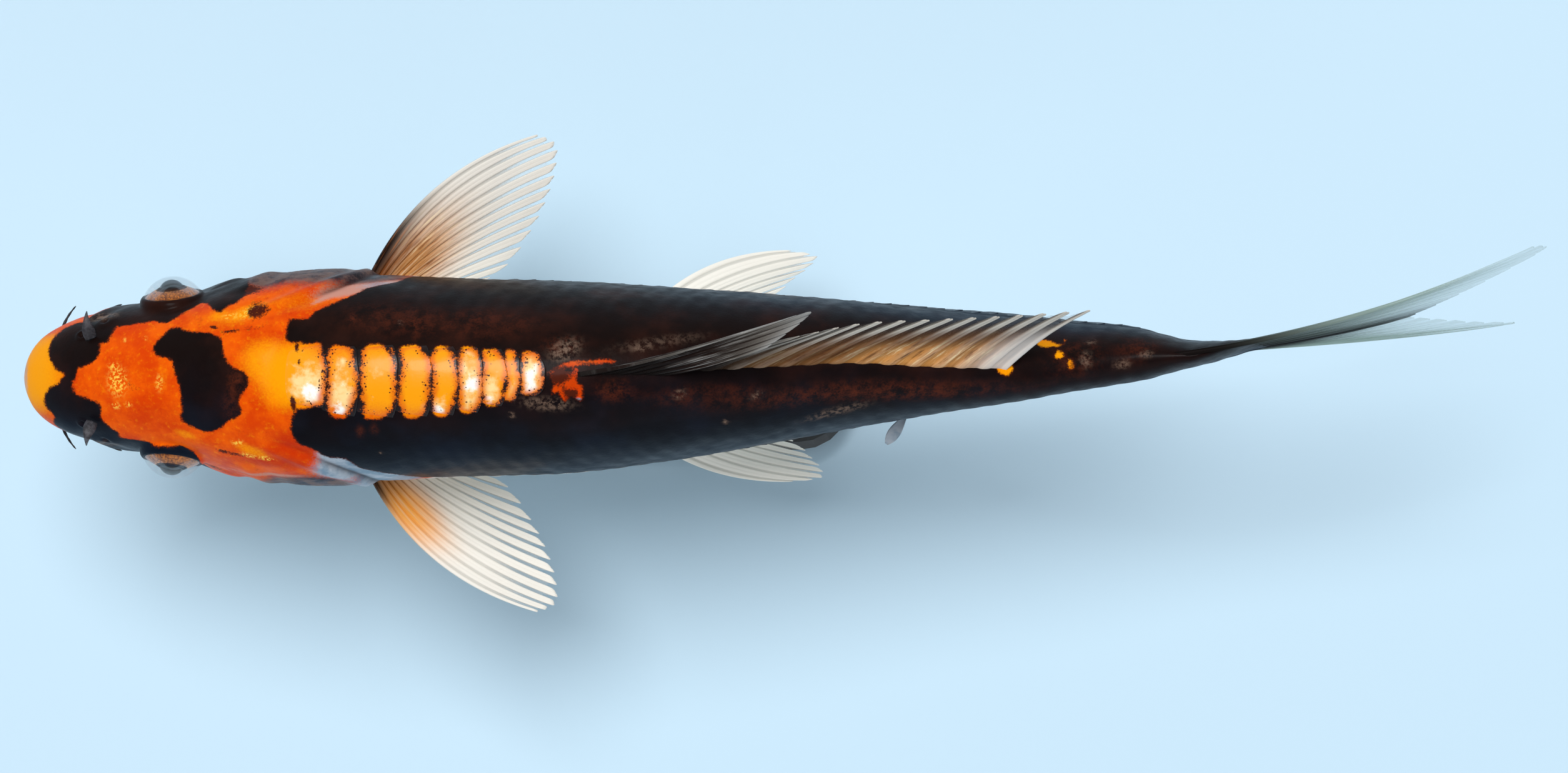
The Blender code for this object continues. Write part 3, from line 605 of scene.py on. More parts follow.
# The same for the sides, with places given as (x, girth).
SOFT_SIDES = {
    "grey": [(45.5, 25, 13, 8.6, 1), (35, 22, 4, 6, 0.9), (42, -25.5, 8.6, 6.6, 1)],
    "pale": [
        (46.2, -13.6, 2.8, 1.8, 1, -35), (47.2, -17, 4.6, 3.7, 1, -8), (49.6, -17, 4.2, 3, 1, -38),
        (53.5, -24.5, 5.6, 8, 1, -10), (53, 18.4, 4.6, 1.6, 0.5, 25),
    ],
    "pink": [
        (48, 16, 5.4, 1.9, 1, 24), (55.5, 19.8, 3.6, 1.8, 0.9, 24), (45, -13.4, 1.6, 0.7, 0.6, -50),
    ],
}

# The row of nine big scales before the dorsal fin: where their rear edges lie, the black gap
# behind each, and how far their golden part reaches to the right and to the left.
ROW_START = 40.7
ROW_REAR = (45.4, 50.0, 55.6, 60.4, 64.2, 67.7, 71.1, 73.1, 76.6)
ROW_GAP = (0.12, 0.50, 0.50, 0.30, 0.25, 0.08, -0.10, 0.12, 0.4)
ROW_RIGHT = (4.8, 4.6, 4.8, 4.7, 4.5, 4.4, 4.1, 4.0, 3.7)
ROW_LEFT = (4.5, 5.9, 6.1, 5.9, 5.7, 5.3, 4.2, 3.4, 2.5)
ROW_BULGE = 0.7  # how far the middle of a rear edge lies behind its ends


def row_outline(k):
    """The golden part of one big scale seen from above, with blunt ends."""
    front = ROW_REAR[k - 1] + ROW_GAP[k - 1] / 2 if k else ROW_START - 2
    rear = ROW_REAR[k] - ROW_GAP[k] / 2
    turn = 2 * math.pi * (np.arange(20) + 0.5) / 20
    across, along = np.sin(turn), np.cos(turn)
    x = (front + rear) / 2 + (rear - front) / 2 * np.sign(along) * np.abs(along) ** 0.62
    y = np.sign(across) * np.abs(across) ** 0.72
    x += ROW_BULGE * (0.3 - y**2) + 0.16 * np.sin(5 * y + 2.1 * k)
    return np.stack([x, y * np.where(y > 0, ROW_RIGHT[k], ROW_LEFT[k])], -1).tolist()


class Markings:
    """The koi's colours as fields over places on the skin, shared by the skin and the scales."""

    def __init__(self, skin):
        self.skin = skin
        above = skin.from_above
        saddle = [*above(SADDLE_FRONT_RIGHT), *SADDLE_BELOW, *above(SADDLE_FRONT_LEFT)]
        self.black = [round_outline(shape) for shape in (saddle, *map(above, SPOTS))]
        row = (row_outline(k) for k in range(len(ROW_REAR)))
        self.showing = [round_outline(above(shape)) for shape in (*row, *SHOWING)]
        self.soft = {k: [(*above([row[:2]])[0], *row[2:]) for row in rows] for k, rows in SOFT.items()}
        for name, rows in SOFT_SIDES.items():
            self.soft[name] = [*self.soft.get(name, ()), *rows]

    def fields(self, x, girth):
        black = np.full(x.shape, -FAR)
        for outline in self.black:
            black = np.maximum(black, depth_inside(outline, x, girth))
        for outline in self.showing:
            black = np.minimum(black, -depth_inside(outline, x, girth))
        found = {name: patches(rows, x, girth) for name, rows in self.soft.items()}
        low = np.abs(girth) / self.skin.reach(x, girth)
        trunk, rear = step_up(x, 50, 60), step_up(x, 84, 112)
        return {
            **found,
            "black": black,
            "belly": step_up(low, 0.50 - 0.07 * trunk, 0.72 - 0.18 * trunk),
            # The left side, which lies in shade, is painted bluer and colder as shade and blue reflection.
            "shaded_side": step_up(-girth, -6, 14),
            # Slate blue low on the flanks, all along the left and at the rear on the right: partly the
            # black's own slate tone, partly painted reflection.
            "slate_and_reflection": step_up(low, 0.16, 0.40) * np.where(girth < 0, 1, rear),
        }


# ---------------------------------------------------------------- meshes
def add_object(name, points, faces, fields, uvs=None):
    """A smooth-shaded mesh with its fields as point attributes and its bake map, in metres."""
    mesh = bpy.data.meshes.new(name)
    mesh.from_pydata(to_world(points).tolist(), [], faces)
    mesh.shade_smooth()
    for field, values in fields.items():
        attribute = mesh.attributes.new(field, "FLOAT", "POINT")
        attribute.data.foreach_set("value", np.asarray(values, np.float32).ravel())
    if uvs is not None:
        layer = mesh.uv_layers.new(name="OFBake")
        layer.data.foreach_set("uv", np.asarray(uvs, np.float32).ravel())
    made = bpy.data.objects.new(name, mesh)
    bpy.context.scene.collection.objects.link(made)
    return made


def ring_quads(rows, columns):
    """Faces over rings of points, each ring closed on itself."""
    index = np.arange(rows * columns).reshape(rows, columns)
    after = np.roll(index, -1, 1)
    return np.stack([index[:-1], index[1:], after[1:], after[:-1]], -1).reshape(-1, 4)


def hollows(skin):
    """1 in the mouth's gape, the nostrils and under the gill cover, for their shade."""
    ahead = gill_depth(skin.points, skin.angle)
    found = 0.75 * bell(ahead + 0.55, 0.55) * step_up(46 - side_angle(skin.angle), 0, 10)
    gape = path_distance(skin.points, mouth_path(0.9 * LIP_SPACING))
    found = np.maximum(found, bell(gape, 0.45))
    for place in (*NOSTRILS_REAR, *NOSTRILS_FRONT):
        found = np.maximum(found, bell(length_of(skin.points - back_point(*place)), 0.5))
    return found


def make_skin(skin, markings):
    """One closed mesh: the grid, and a fan of triangles at the snout and at the tail."""
    rows, columns = skin.girth.shape
    quads = ring_quads(rows, columns)[:, [0, 3, 2, 1]].tolist()
    nose, tail, last = rows * columns, rows * columns + 1, (rows - 1) * columns
    pairs = [(j, (j + 1) % columns) for j in range(columns)]
    fans = [(nose, after, j) for j, after in pairs]
    fans += [(tail, last + j, last + after) for j, after in pairs]
    tips = skin.points[0].mean(0) - [0.008, 0, 0], skin.points[-1].mean(0) + [0.15, 0, 0]
    points = np.concatenate([skin.points.reshape(-1, 3), tips])

    x = np.broadcast_to(skin.x[:, None], skin.girth.shape)
    fields = {**markings.fields(x, skin.girth), "hollow": hollows(skin)}
    fields = {k: np.concatenate([v.ravel(), [v[0].mean(), v[-1].mean()]]) for k, v in fields.items()}

    v = (skin.share + 1) / 2
    uv = np.stack([np.broadcast_to(skin.x[:, None] / SKIN_END, v.shape), v], -1)
    corners = [uv[:-1, :-1], uv[:-1, 1:], uv[1:, 1:], uv[1:, :-1]]
    here, after = uv[:, :-1], uv[:, 1:]
    ends = [np.stack(rim, 1) for rim in ((here[0], after[0], here[0]), (here[-1], here[-1], after[-1]))]
    ends[0][..., 0] = 0
    uvs = [part.reshape(-1, 2) for part in (np.stack(corners, -2), *ends)]
    return add_object("skin", points, quads + fans, fields, np.concatenate(uvs))


class Shells:
    """Thin closed bodies, each from an upper and a lower grid of points, joined in one mesh."""

    def __init__(self):
        self.points, self.faces, self.uvs, self.fields, self.count = [], [], [], {}, 0

    def add(self, upper, lower, fields, uv=None):
        n, m = upper.shape[:2]
        top = np.arange(n * m).reshape(n, m) + self.count
        quads = np.stack([top[:-1, :-1], top[1:, :-1], top[1:, 1:], top[:-1, 1:]], -1).reshape(-1, 4)
        rim = np.concatenate([top[:, 0], top[-1, 1:], top[-2::-1, -1], top[0, -2:0:-1]])
        after = np.roll(rim, -1)
        sides = np.stack([after, rim, rim + n * m, after + n * m], -1)
        self.faces += [quads, quads[:, ::-1] + n * m, sides]
        self.points += [upper.reshape(-1, 3), lower.reshape(-1, 3)]
        for name, values in fields.items():
            self.fields.setdefault(name, []).extend([np.broadcast_to(values, (n, m)).ravel()] * 2)
        if uv is not None:
            self.uvs += [uv.reshape(-1, 2)] * 2
        self.count += 2 * n * m

    def make(self, name):
        faces = np.concatenate(self.faces)
        uvs = np.concatenate(self.uvs)[faces.ravel()] if self.uvs else None
        fields = {k: np.concatenate(v) for k, v in self.fields.items()}
        return add_object(name, np.concatenate(self.points), faces.tolist(), fields, uvs)


def turned_body(name, rings, caps=(), fields=()):
    """A body from rings of points. Points that meet are welded, and the faces turned outward."""
    faces = ring_quads(*rings.shape[:2]).tolist()
    made = add_object(name, rings.reshape(-1, 3), [*faces, *caps], dict(fields))
    work = bmesh.new()
    work.from_mesh(made.data)
    bmesh.ops.remove_doubles(work, verts=work.verts, dist=1e-7)
    bmesh.ops.dissolve_degenerate(work, edges=work.edges, dist=1e-8)
    bmesh.ops.recalc_face_normals(work, faces=work.faces)
    work.to_mesh(made.data)
    work.free()
    return made


def ring_round(side, up, segments):
    """Offsets of a ring's points, from its two half axes."""
    turn = (2 * math.pi * np.arange(segments) / segments)[:, None]
    return np.cos(turn) * side[..., None, :] + np.sin(turn) * up[..., None, :]


def lathe(name, profile, centre, axis, segments=72):
    """A body turned about the axis from (radius, distance along the axis) points."""
    profile = np.asarray(profile, float)
    ring = ring_round(*level_frame(axis), segments)
    rings = centre + profile[:, None, :1] * ring + profile[:, None, 1:] * axis
    radius, depth = (np.repeat(column, segments) for column in profile.T)
    return turned_body(name, rings, fields={"radius": radius, "depth": depth})


def make_tube(name, path, radii, flat=1.0, segments=20):
    """A tapered feeler along a path, flattened from above by a share."""
    side, up = level_frame(unit(np.gradient(path, axis=0)))
    rings = path[:, None] + ring_round(side, up * flat, segments) * radii[:, None, None]
    count = len(path) * segments
    caps = list(range(segments)), list(range(count - 1, count - 1 - segments, -1))
    return turned_body(name, rings, caps)


# ---------------------------------------------------------------- materials
def rgb(red, green, blue):
    """A colour from 0 to 255 as linear light."""
    channels = np.array([red, green, blue]) / 255
    return (*np.where(channels <= 0.04045, channels / 12.92, ((channels + 0.055) / 1.055) ** 2.4), 1.0)


class Value:
    """What a node gives, with the arithmetic that adds further nodes."""

    def __init__(self, nodes, socket):
        self.nodes, self.socket = nodes, socket

    def __add__(self, other):
        return self.nodes.calc("ADD", self, other)

    def __sub__(self, other):
        return self.nodes.calc("SUBTRACT", self, other)

    def __rsub__(self, other):
        return self.nodes.calc("SUBTRACT", other, self)

    def __mul__(self, other):
        return self.nodes.calc("MULTIPLY", self, other)


class Nodes:
    """A node tree, with short names for the nodes that it uses."""

    def __init__(self, tree):
        self.tree = tree

    def put(self, value, socket):
        if isinstance(value, Value):
            self.tree.links.new(value.socket, socket)
        else:
            socket.default_value = value

    def node(self, kind, inputs, output=0, **settings):
        made = self.tree.nodes.new(kind)
        for key, value in settings.items():
            setattr(made, key, value)
        for key, value in inputs.items():
            self.put(value, made.inputs[key])
        return Value(self, made.outputs[output])

    def field(self, name):
        return self.node("ShaderNodeAttribute", {}, "Fac", attribute_name=name)

    def where(self):
        """The place on the model in millimetres."""
        place = self.node("ShaderNodeTexCoord", {}, "Object")
        return self.node("ShaderNodeMapping", {"Vector": place, "Scale": (1 / MM, 1 / MM, 1 / MM)})

    def noise(self, size, detail=4, rough=0.55, where=None):
        """Noise between 0 and 1, with features of about that size in millimetres."""
        inputs = {"Vector": where or self.where(), "Scale": 1 / size, "Detail": detail, "Roughness": rough}
        return self.node("ShaderNodeTexNoise", inputs, "Fac")

    def cells(self, size):
        inputs = {"Vector": self.where(), "Scale": 1 / size}
        return self.node("ShaderNodeTexVoronoi", inputs, "Distance")

    def calc(self, operation, a, b=0.0):
        return self.node("ShaderNodeMath", {0: a, 1: b}, operation=operation)

    def most(self, first, *others):
        for other in others:
            first = self.calc("MAXIMUM", first, other)
        return first

    def ramp(self, value, low, high, start=0.0, end=1.0):
        inputs = {"Value": value, "From Min": low, "From Max": high, "To Min": start, "To Max": end}
        return self.node("ShaderNodeMapRange", inputs, interpolation_type="SMOOTHSTEP")

    def mix(self, share, a, b):
        return self.node("ShaderNodeMix", {0: share, 6: a, 7: b}, 2, data_type="RGBA")

    def layers(self, colour, *above):
        """A colour under others, each laid on by its share."""
        for share, other in above:
            colour = self.mix(share, colour, other)
        return colour

    def bump(self, height, distance, strength, **more):
        inputs = {"Height": height, "Distance": distance * MM, "Strength": strength}
        return self.node("ShaderNodeBump", {**inputs, **more})


class Paint(Nodes):
    """One material."""

    def __init__(self, name, roughness, **constants):
        self.material = bpy.data.materials.new(name)
        self.material.use_nodes = True
        super().__init__(self.material.node_tree)
        self.set(Roughness=roughness, **constants)

    def set(self, **values):
        for socket, value in values.items():
            self.put(value, self.tree.nodes["Principled BSDF"].inputs[socket.replace("_", " ")])

    def finish(self, piece):
        piece.data.materials.clear()
        piece.data.materials.append(self.material)


ORANGE, DEEP_ORANGE, RED_ORANGE = rgb(240, 94, 3), rgb(218, 64, 2), rgb(194, 42, 4)
YELLOW_ORANGE, GOLD_GLINT, RIM_ORANGE = rgb(252, 158, 3), rgb(255, 214, 84), rgb(226, 98, 6)
# The scales' cream is partly painted highlight, and their white is painted reflection.
CREAM_HIGHLIGHT, WHITE_REFLECTION, WHITE_SKIN = rgb(255, 226, 160), rgb(255, 252, 244), rgb(232, 228, 220)
PALE_BLUE, PALE_GREY, PALE_PINK = rgb(122, 145, 163), rgb(176, 184, 194), rgb(206, 142, 122)
# The cool greys and blacks are painted shade and blue reflection on the fish's left side.
GREY_WARM, GREY_COOL = rgb(74, 56, 57), rgb(50, 58, 74)
GREY_LIGHT, GREY_DARK, RIM_GREY = rgb(112, 84, 74), rgb(34, 28, 32), rgb(86, 84, 90)
# SLATE_AND_REFLECTION is partly the black's own tone, partly painted reflection.
BLACK_WARM, BLACK_COOL, SLATE_AND_REFLECTION = rgb(22, 12, 10), rgb(10, 11, 18), rgb(16, 28, 43)
BLACK_BROWN, BLACK_BLUE, HOLLOW = rgb(42, 20, 14), rgb(16, 22, 34), rgb(34, 12, 8)
BROWN_BLACK, RUST, DUST = rgb(74, 26, 12), rgb(88, 38, 22), rgb(132, 106, 90)
DOT_BROWN, SEAM_BROWN = rgb(70, 26, 8), rgb(64, 24, 8)
FIN_TAN, FIN_LIGHT, FIN_ORANGE = rgb(206, 142, 78), rgb(252, 226, 178), rgb(255, 172, 76)
FIN_PALE, FIN_DARK, FIN_BLACK = rgb(226, 228, 228), rgb(30, 18, 14), rgb(18, 12, 11)


def skin_colour(n, ragged, fine):
    """The colours that the skin and its scales share."""

    def soft(field, amount, low, high):
        """A soft patch with a broken edge."""
        return n.ramp(n.field(field) + (fine - 0.5) * amount, low, high)

    light_spots = n.ramp(n.noise(0.8, 4, 0.6), 0.52, 0.78)
    dark_spots = n.ramp(n.noise(1.1, 5, 0.65), 0.44, 0.26)
    # Painted glints: gold flecks where the metallic skin of the head catches the light.
    glint_flakes = n.field("gold_glints") * n.ramp(n.noise(0.42, 3, 0.6), 0.46, 0.58)
    belly = n.field("belly") + (n.noise(5.0, 5) - 0.5) * 0.9 + fine * 0.25
    belly = belly * n.ramp(n.field("belly"), 0.0, 0.1)
    clouds = n.noise(3.2, 6, 0.65) + fine * 0.25
    # The grey turns bluer on the left side: painted shade.
    grey = n.layers(
        n.mix(n.field("shaded_side"), GREY_WARM, GREY_COOL),
        (n.ramp(clouds, 0.50, 0.72), GREY_LIGHT),
        (n.ramp(clouds, 0.60, 0.42), GREY_DARK),
    )
    brown = n.ramp(n.field("brown") + (ragged - 0.5) * 1.4 + (fine - 0.5) * 1.1, 0.3, 0.8)
    return n.layers(
        n.mix(n.ramp(n.noise(4.0, 6, 0.6), 0.34, 0.66), DEEP_ORANGE, ORANGE),
        (light_spots * 0.40, YELLOW_ORANGE),
        (dark_spots * 0.45, RED_ORANGE),
        (soft("yellow", 0.45, 0.12, 0.85), YELLOW_ORANGE),
        (soft("red", 0.4, 0.1, 0.9) * 0.85, RED_ORANGE),
        (glint_flakes, GOLD_GLINT),
        (n.ramp(belly, 0.25, 0.85), WHITE_SKIN),
        (soft("grey", 0.5, 0.15, 0.75), grey),
        (soft("pink", 0.7, 0.15, 0.85), PALE_PINK),
        (soft("pale", 0.6, 0.15, 0.8), n.mix(n.ramp(n.noise(2.2), 0.35, 0.7), PALE_BLUE, PALE_GREY)),
        (brown * n.ramp(n.field("brown"), 0.02, 0.2), BROWN_BLACK),
    )


def with_black(n, colour, ragged, fine, breadth, grain):
    """Lays the black markings over a colour, through a red-brown fringe with a broken edge."""
    warm = n.mix(n.ramp(n.noise(7.0), 0.4, 0.75), BLACK_WARM, BLACK_BROWN)
    # The bluer black of the left side is painted shade and reflection.
    shaded_side = n.mix(n.ramp(n.noise(8.0), 0.4, 0.75), BLACK_COOL, BLACK_BLUE)
    black = n.layers(
        n.mix(n.field("shaded_side"), warm, shaded_side),
        # Slate: partly the black's own tone, partly painted reflection low on the flanks.
        (n.field("slate_and_reflection") * n.ramp(n.noise(9.0), 0.25, 0.7, 0.55), SLATE_AND_REFLECTION),
        (n.field("rust") * n.ramp(ragged + fine * 0.5, 0.58, 1.0), RUST),
        (n.field("dust") * n.ramp(n.noise(0.7, 5, 0.7), 0.40, 0.62), DUST),
    )
    mask = n.field("black") + (ragged - 0.5) * breadth + (fine - 0.5) * grain
    fringe = n.mix(n.ramp(mask, -0.12, 0.30), BROWN_BLACK, black)
    return n.mix(n.ramp(mask, -0.32, 0.10), colour, fringe)


def skin_paint():
    coat = {"Coat_Weight": 0.05, "Coat_Roughness": 0.14, "Coat_IOR": 1.33}
    n = Paint("wet_skin", 0.36, **coat, IOR=1.34, Specular_IOR_Level=0.05)
    ragged, fine = n.noise(1.5, 6, 0.6), n.noise(0.30, 3, 0.6)
    colour = with_black(n, skin_colour(n, ragged, fine), ragged, fine, 1.0, 0.75)
    grain = n.noise(0.35, 3) + n.cells(0.55) * 0.35
    n.set(
        Base_Color=n.mix(n.field("hollow"), colour, HOLLOW),
        Roughness=n.ramp(n.noise(2.5), 0.3, 0.7, 0.32, 0.46),
        Normal=n.bump(grain, 0.035, 0.6, Normal=n.bump(n.noise(1.8, 3), 0.07, 0.5)),
    )
    return n


def scale_paint(name, coat, gloss):
    """Glassy scales over golden skin, with rings of growth and painted highlights and reflections."""
    n = Paint(
        name, 0.32, Coat_Weight=coat, Coat_Roughness=0.10, Coat_IOR=1.38, IOR=1.36, Specular_IOR_Level=gloss
    )
    ragged, fine = n.noise(1.6, 8, 0.72), n.noise(0.24, 3, 0.6)
    broken = n.noise(1.3, 5, 0.6) - 0.5
    near_black = n.field("black") + broken * 1.4
    dots = n.ramp(n.cells(0.46) + n.noise(1.4, 3) * -1.5, -0.54, -0.64)
    colour = n.layers(
        skin_colour(n, ragged, fine),
        # Painted light on the scales: cream is partly painted highlight, white is painted reflection.
        (n.ramp(n.field("cream") + broken * 2.2, 0.25, 1.15) * 0.85, CREAM_HIGHLIGHT),
        (n.ramp(n.field("white") + broken * 2.2, 0.45, 1.1), WHITE_REFLECTION),
        (n.ramp(near_black, -1.15, -0.1, 0.0, 0.8), RIM_ORANGE),
        (dots * n.ramp(near_black, -1.4, -0.8), DOT_BROWN),
        (n.ramp(n.field("seam") + (fine - 0.5) * 2.4, 0.75, 0.95), SEAM_BROWN),
    )
    colour = with_black(n, colour, ragged, fine, 2.6, 1.3)
    rings = n.calc("SINE", n.field("ring") * (2 * math.pi / RING_SPACING))
    n.set(
        Base_Color=n.mix(n.field("rim") * 0.25, colour, RIM_GREY),
        Normal=n.bump(rings * 0.02 + n.noise(0.9), 0.05, 0.6),
    )
    return n


def fin_paint(name, ray, membrane, dark, lines, solid, clear):
    """Bony rays, and between them thin skin that is see-through in the slots near the edge."""
    n = Paint(name, 0.5, IOR=1.34, Specular_IOR_Level=0.08)
    band, sub, length, *tints = map(n.field, ("ray", "sub", "length", *FIN_TINTS))
    tan, orange, brown, shade, black, pale = tints
    on_rays = n.node("ShaderNodeCombineXYZ", {0: n.field("place") * 2.4, 1: length * 0.09})
    streaks, threads = n.noise(1.0, 6, 0.65, on_rays), n.noise(0.6, 4, 0.7, on_rays)
    broken = n.ramp(streaks + ((1 - band) + (1 - sub) * 0.4) * 0.35, 0.30, 0.62, 0.72)
    thin = n.ramp(sub, 0.6, 1.0, 0.25) * n.ramp(streaks, 0.50, 0.64)
    colour = n.layers(
        membrane,
        (band, n.mix(sub * 0.7, n.mix(streaks, membrane, ray), ray)),
        (tan * broken, FIN_TAN),
        (tan * n.ramp(threads, 0.48, 0.36, 0.0, 0.75), dark),
        (tan * n.ramp(threads, 0.52, 0.66, 0.0, 0.9), FIN_LIGHT),
        (orange * broken, FIN_ORANGE),
        (brown * broken, dark),
        (pale, FIN_PALE),
        (shade, n.mix(thin, FIN_DARK, lines)),
        (black, FIN_BLACK),
    )
    joints = n.ramp(n.calc("FRACT", length * 1.6), 0.0, 0.18)
    tinted = n.most(brown, shade, orange, tan, black)
    whole = n.most(n.ramp(band, 0.0, 1.0, solid - 0.12, solid), tinted)
    slot = n.field("slot") * (1 - tinted * 0.8)
    alpha = n.node("ShaderNodeMix", {0: slot, 2: whole, 3: clear})
    fade = n.field("fade") * (1 - black)
    n.set(Base_Color=colour, Normal=n.bump(joints * band, 0.012, 0.5), Alpha=alpha * (1 - fade))
    return n


def iris_paint():
    n = Paint("iris", 0.28, Metallic=0.35, Coat_Weight=0.2, Coat_Roughness=0.1)
    flecks, radius = n.noise(0.30, 5, 0.65), n.field("radius")
    colour = n.layers(
        n.mix(n.ramp(flecks, 0.38, 0.64), rgb(96, 38, 8), rgb(214, 122, 28)),
        (n.ramp(radius, 2.5, 2.0) * n.ramp(flecks, 0.3, 0.6, 0.3, 0.9), rgb(236, 164, 44)),
        (n.ramp(radius + flecks * 0.6, 4.0, 4.6), rgb(30, 14, 8)),
    )
    behind = n.ramp(n.field("depth"), 2.0, 1.6)
    n.set(Base_Color=n.mix(behind, colour, rgb(16, 12, 12)), Normal=n.bump(flecks, 0.05, 0.5))
    return n


def plain_paint(name, colour, other, size, roughness, relief, **constants):
    """A finish of two close tones with a fine grain."""
    n = Paint(name, roughness, **constants)
    n.set(
        Base_Color=n.mix(n.ramp(n.noise(size), 0.35, 0.65), colour, other),
        Normal=n.bump(n.noise(size * 0.3, 3), relief, 0.6),
    )
    return n


def stand_paint():
    """Satin black powder coat: a fine orange peel, with a little grey wear."""
    n = Paint("powder_coat", 0.42, Coat_Weight=0.15, Coat_Roughness=0.3)
    n.set(
        Base_Color=n.mix(n.ramp(n.noise(6, 5), 0.45, 0.8), rgb(22, 22, 24), rgb(36, 36, 38)),
        Roughness=n.ramp(n.noise(1.2), 0.3, 0.7, 0.34, 0.5),
        Normal=n.bump(n.noise(0.45, 2), 0.05, 0.6),
    )
    return n


# ---------------------------------------------------------------- scales
PLATE_THICK, SMALL_THICK = 0.16, 0.12
RING_SPACING = 0.34  # between a scale's rings of growth
PATCH = 0.003  # breadth of a small scale's place on the bake map
# Each row of small scales: their number, the first one's x, their spacing and the share of the
# way down the side; then a scale's length and half width, and its size at both ends of the row.
SMALL_COUNT, SMALL_START, SMALL_SPACING, SMALL_DOWN = 40, 58.8, 2.62, 0.535
SMALL_LONG, SMALL_HALF, SMALL_FIRST, SMALL_LAST = 3.1, 1.5, 0.97, 0.65
# The one loose scale: its root and tip, its half width and its place on the bake map.
LOOSE_ROOT, LOOSE_TIP, LOOSE_HALF = (129.0, -5.2, -1.0), (125.9, -9.7, -2.0), 0.92
LOOSE_GIRTH = -14.0


def make_back_scales(skin, markings):
    """The nine big scales of the row before the dorsal fin, each tucked under the one ahead."""
    shells = Shells()
    along, across = grid(34, 49)
    middle = 1 - across**2
    round_off = 1 - np.sqrt(np.clip(1 - 0.98 * across**2, 0, 1))
    for k, rear in enumerate(ROW_REAR):
        front = ROW_REAR[k - 1] if k else ROW_START
        sag = 2.0 if k < len(ROW_REAR) - 1 else 2.8
        edge = rear + 0.3 - sag * round_off + 0.12 * np.sin(7 * across + 2.3 * k) * middle
        root = front - 1.5 - 0.7 * middle
        x = root + (edge - root) * along
        ends = [((front + rear) / 2, ROW_RIGHT[k] + 0.6), ((front + rear) / 2, -ROW_LEFT[k] - 0.6)]
        (_, right), (_, left) = skin.from_above(ends)
        girth = np.where(across > 0, across * right, -across * left)
        rise = 0.05 + 0.34 * along**1.3 - 0.14 * np.abs(across) ** 4
        rise += 0.16 * middle * np.sin(math.pi * np.clip(along, 0, 1))
        rise += -0.35 * (1 - np.clip(along * 5, 0, 1)) - 0.74 * np.abs(across) ** 5.5
        seam = np.exp(-np.maximum(x - front + ROW_BULGE * across**2, 0) / 0.5) * (k > 0)
        seam = np.maximum(seam, 0.8 * np.exp(-(1 - along) * (edge - root) / 0.22))
        ring = np.hypot(x - front + 3, girth * 0.45)
        fields = {**markings.fields(x, girth), "seam": seam, "ring": ring}
        map_x = front + (rear - front) * (0.04 + 0.92 * along) - 0.6 * round_off
        upper, lower = (skin.place(x, girth, rise - thick) for thick in (0, PLATE_THICK))
        shells.add(upper, lower, fields, skin.unwrap(map_x, girth))
    return shells.make("back_scales")


def small_scale_roots(skin):
    """The rows of small scales along the sides: x, girth, length, half width and turn of each."""
    found = []
    for side in SIDES.values():
        for k in range(SMALL_COUNT):
            x = SMALL_START + SMALL_SPACING * k
            size = SMALL_FIRST + (SMALL_LAST - SMALL_FIRST) * k / (SMALL_COUNT - 1)
            girth = side * (SMALL_DOWN * float(skin.reach(x, side)) + 0.3 * math.sin(3.7 * k))
            if math.sin(11.3 * k + 2 * side) > -0.93:
                found.append((x, girth, SMALL_LONG * size, SMALL_HALF * size, 0.05 * math.sin(2.9 * k)))
    return np.array(found)


def make_small_scales(skin, markings):
    """Small mirror scales, each a thin plate let into the skin at its front."""
    shells = Shells()
    roots = small_scale_roots(skin)
    along, across = grid(9, 11)
    root_x, root_girth, long, wide, turn = roots.T[..., None, None]
    rear = 0.30 + 0.70 * np.sqrt(np.clip(1 - 0.97 * across**2, 0, 1))
    out = long * (along * rear - 0.12 * across**2)
    over = wide * across * (0.72 + 0.28 * np.sin(math.pi * np.clip(along + 0.15, 0, 1)))
    x = root_x + out * np.cos(turn) - over * np.sin(turn)
    girth = root_girth + out * np.sin(turn) + over * np.cos(turn)
    rise = -0.10 + 0.20 * along**0.8 * (1 - 0.75 * across**4)
    upper, lower = (skin.place(x, girth, rise - thick) for thick in (0, SMALL_THICK))
    fields = markings.fields(x, girth)
    fields["seam"] = 0.55 * np.exp(-(1 - along) / 0.12) + 0 * x
    fields["ring"] = 3 + out
    fields["rim"] = bell(1 - along, 0.22) * (1 - across**4) * 0.5 + 0 * x
    patch = PATCH * np.stack([along - 0.5, across / 2], -1)
    for i, (at_x, at_girth, *_) in enumerate(roots):
        place = {k: field[i] for k, field in fields.items()}
        shells.add(upper[i], lower[i], place, skin.unwrap(at_x, at_girth) + patch)
    add_loose_scale(skin, shells, fields)
    return shells.make("small_scales")


def add_loose_scale(skin, shells, fields):
    """One pale scale that stands out from the left flank."""
    along, across = grid(14, 9)
    root, run = np.array(LOOSE_ROOT), np.array(LOOSE_TIP) - LOOSE_ROOT
    side, up = level_frame(unit(run))
    wide = LOOSE_HALF * np.sin(math.pi * np.clip(0.04 + 0.90 * along**1.5, 0, 1)) ** 0.8
    middle = root + run * along[..., None] + side * (wide * across)[..., None]
    middle = middle + (0.10 * across**2 + 0.15 * along**2)[..., None] * up
    flat = {k: np.zeros(along.shape) for k in fields}
    flat.update(black=flat["black"] - 3, pale=flat["pale"] + 0.9, ring=3 + 3 * along)
    patch = PATCH * np.stack([along - 0.5, across / 2], -1)
    shells.add(middle + 0.05 * up, middle - 0.05 * up, flat, skin.unwrap(root[0], LOOSE_GIRTH) + patch)


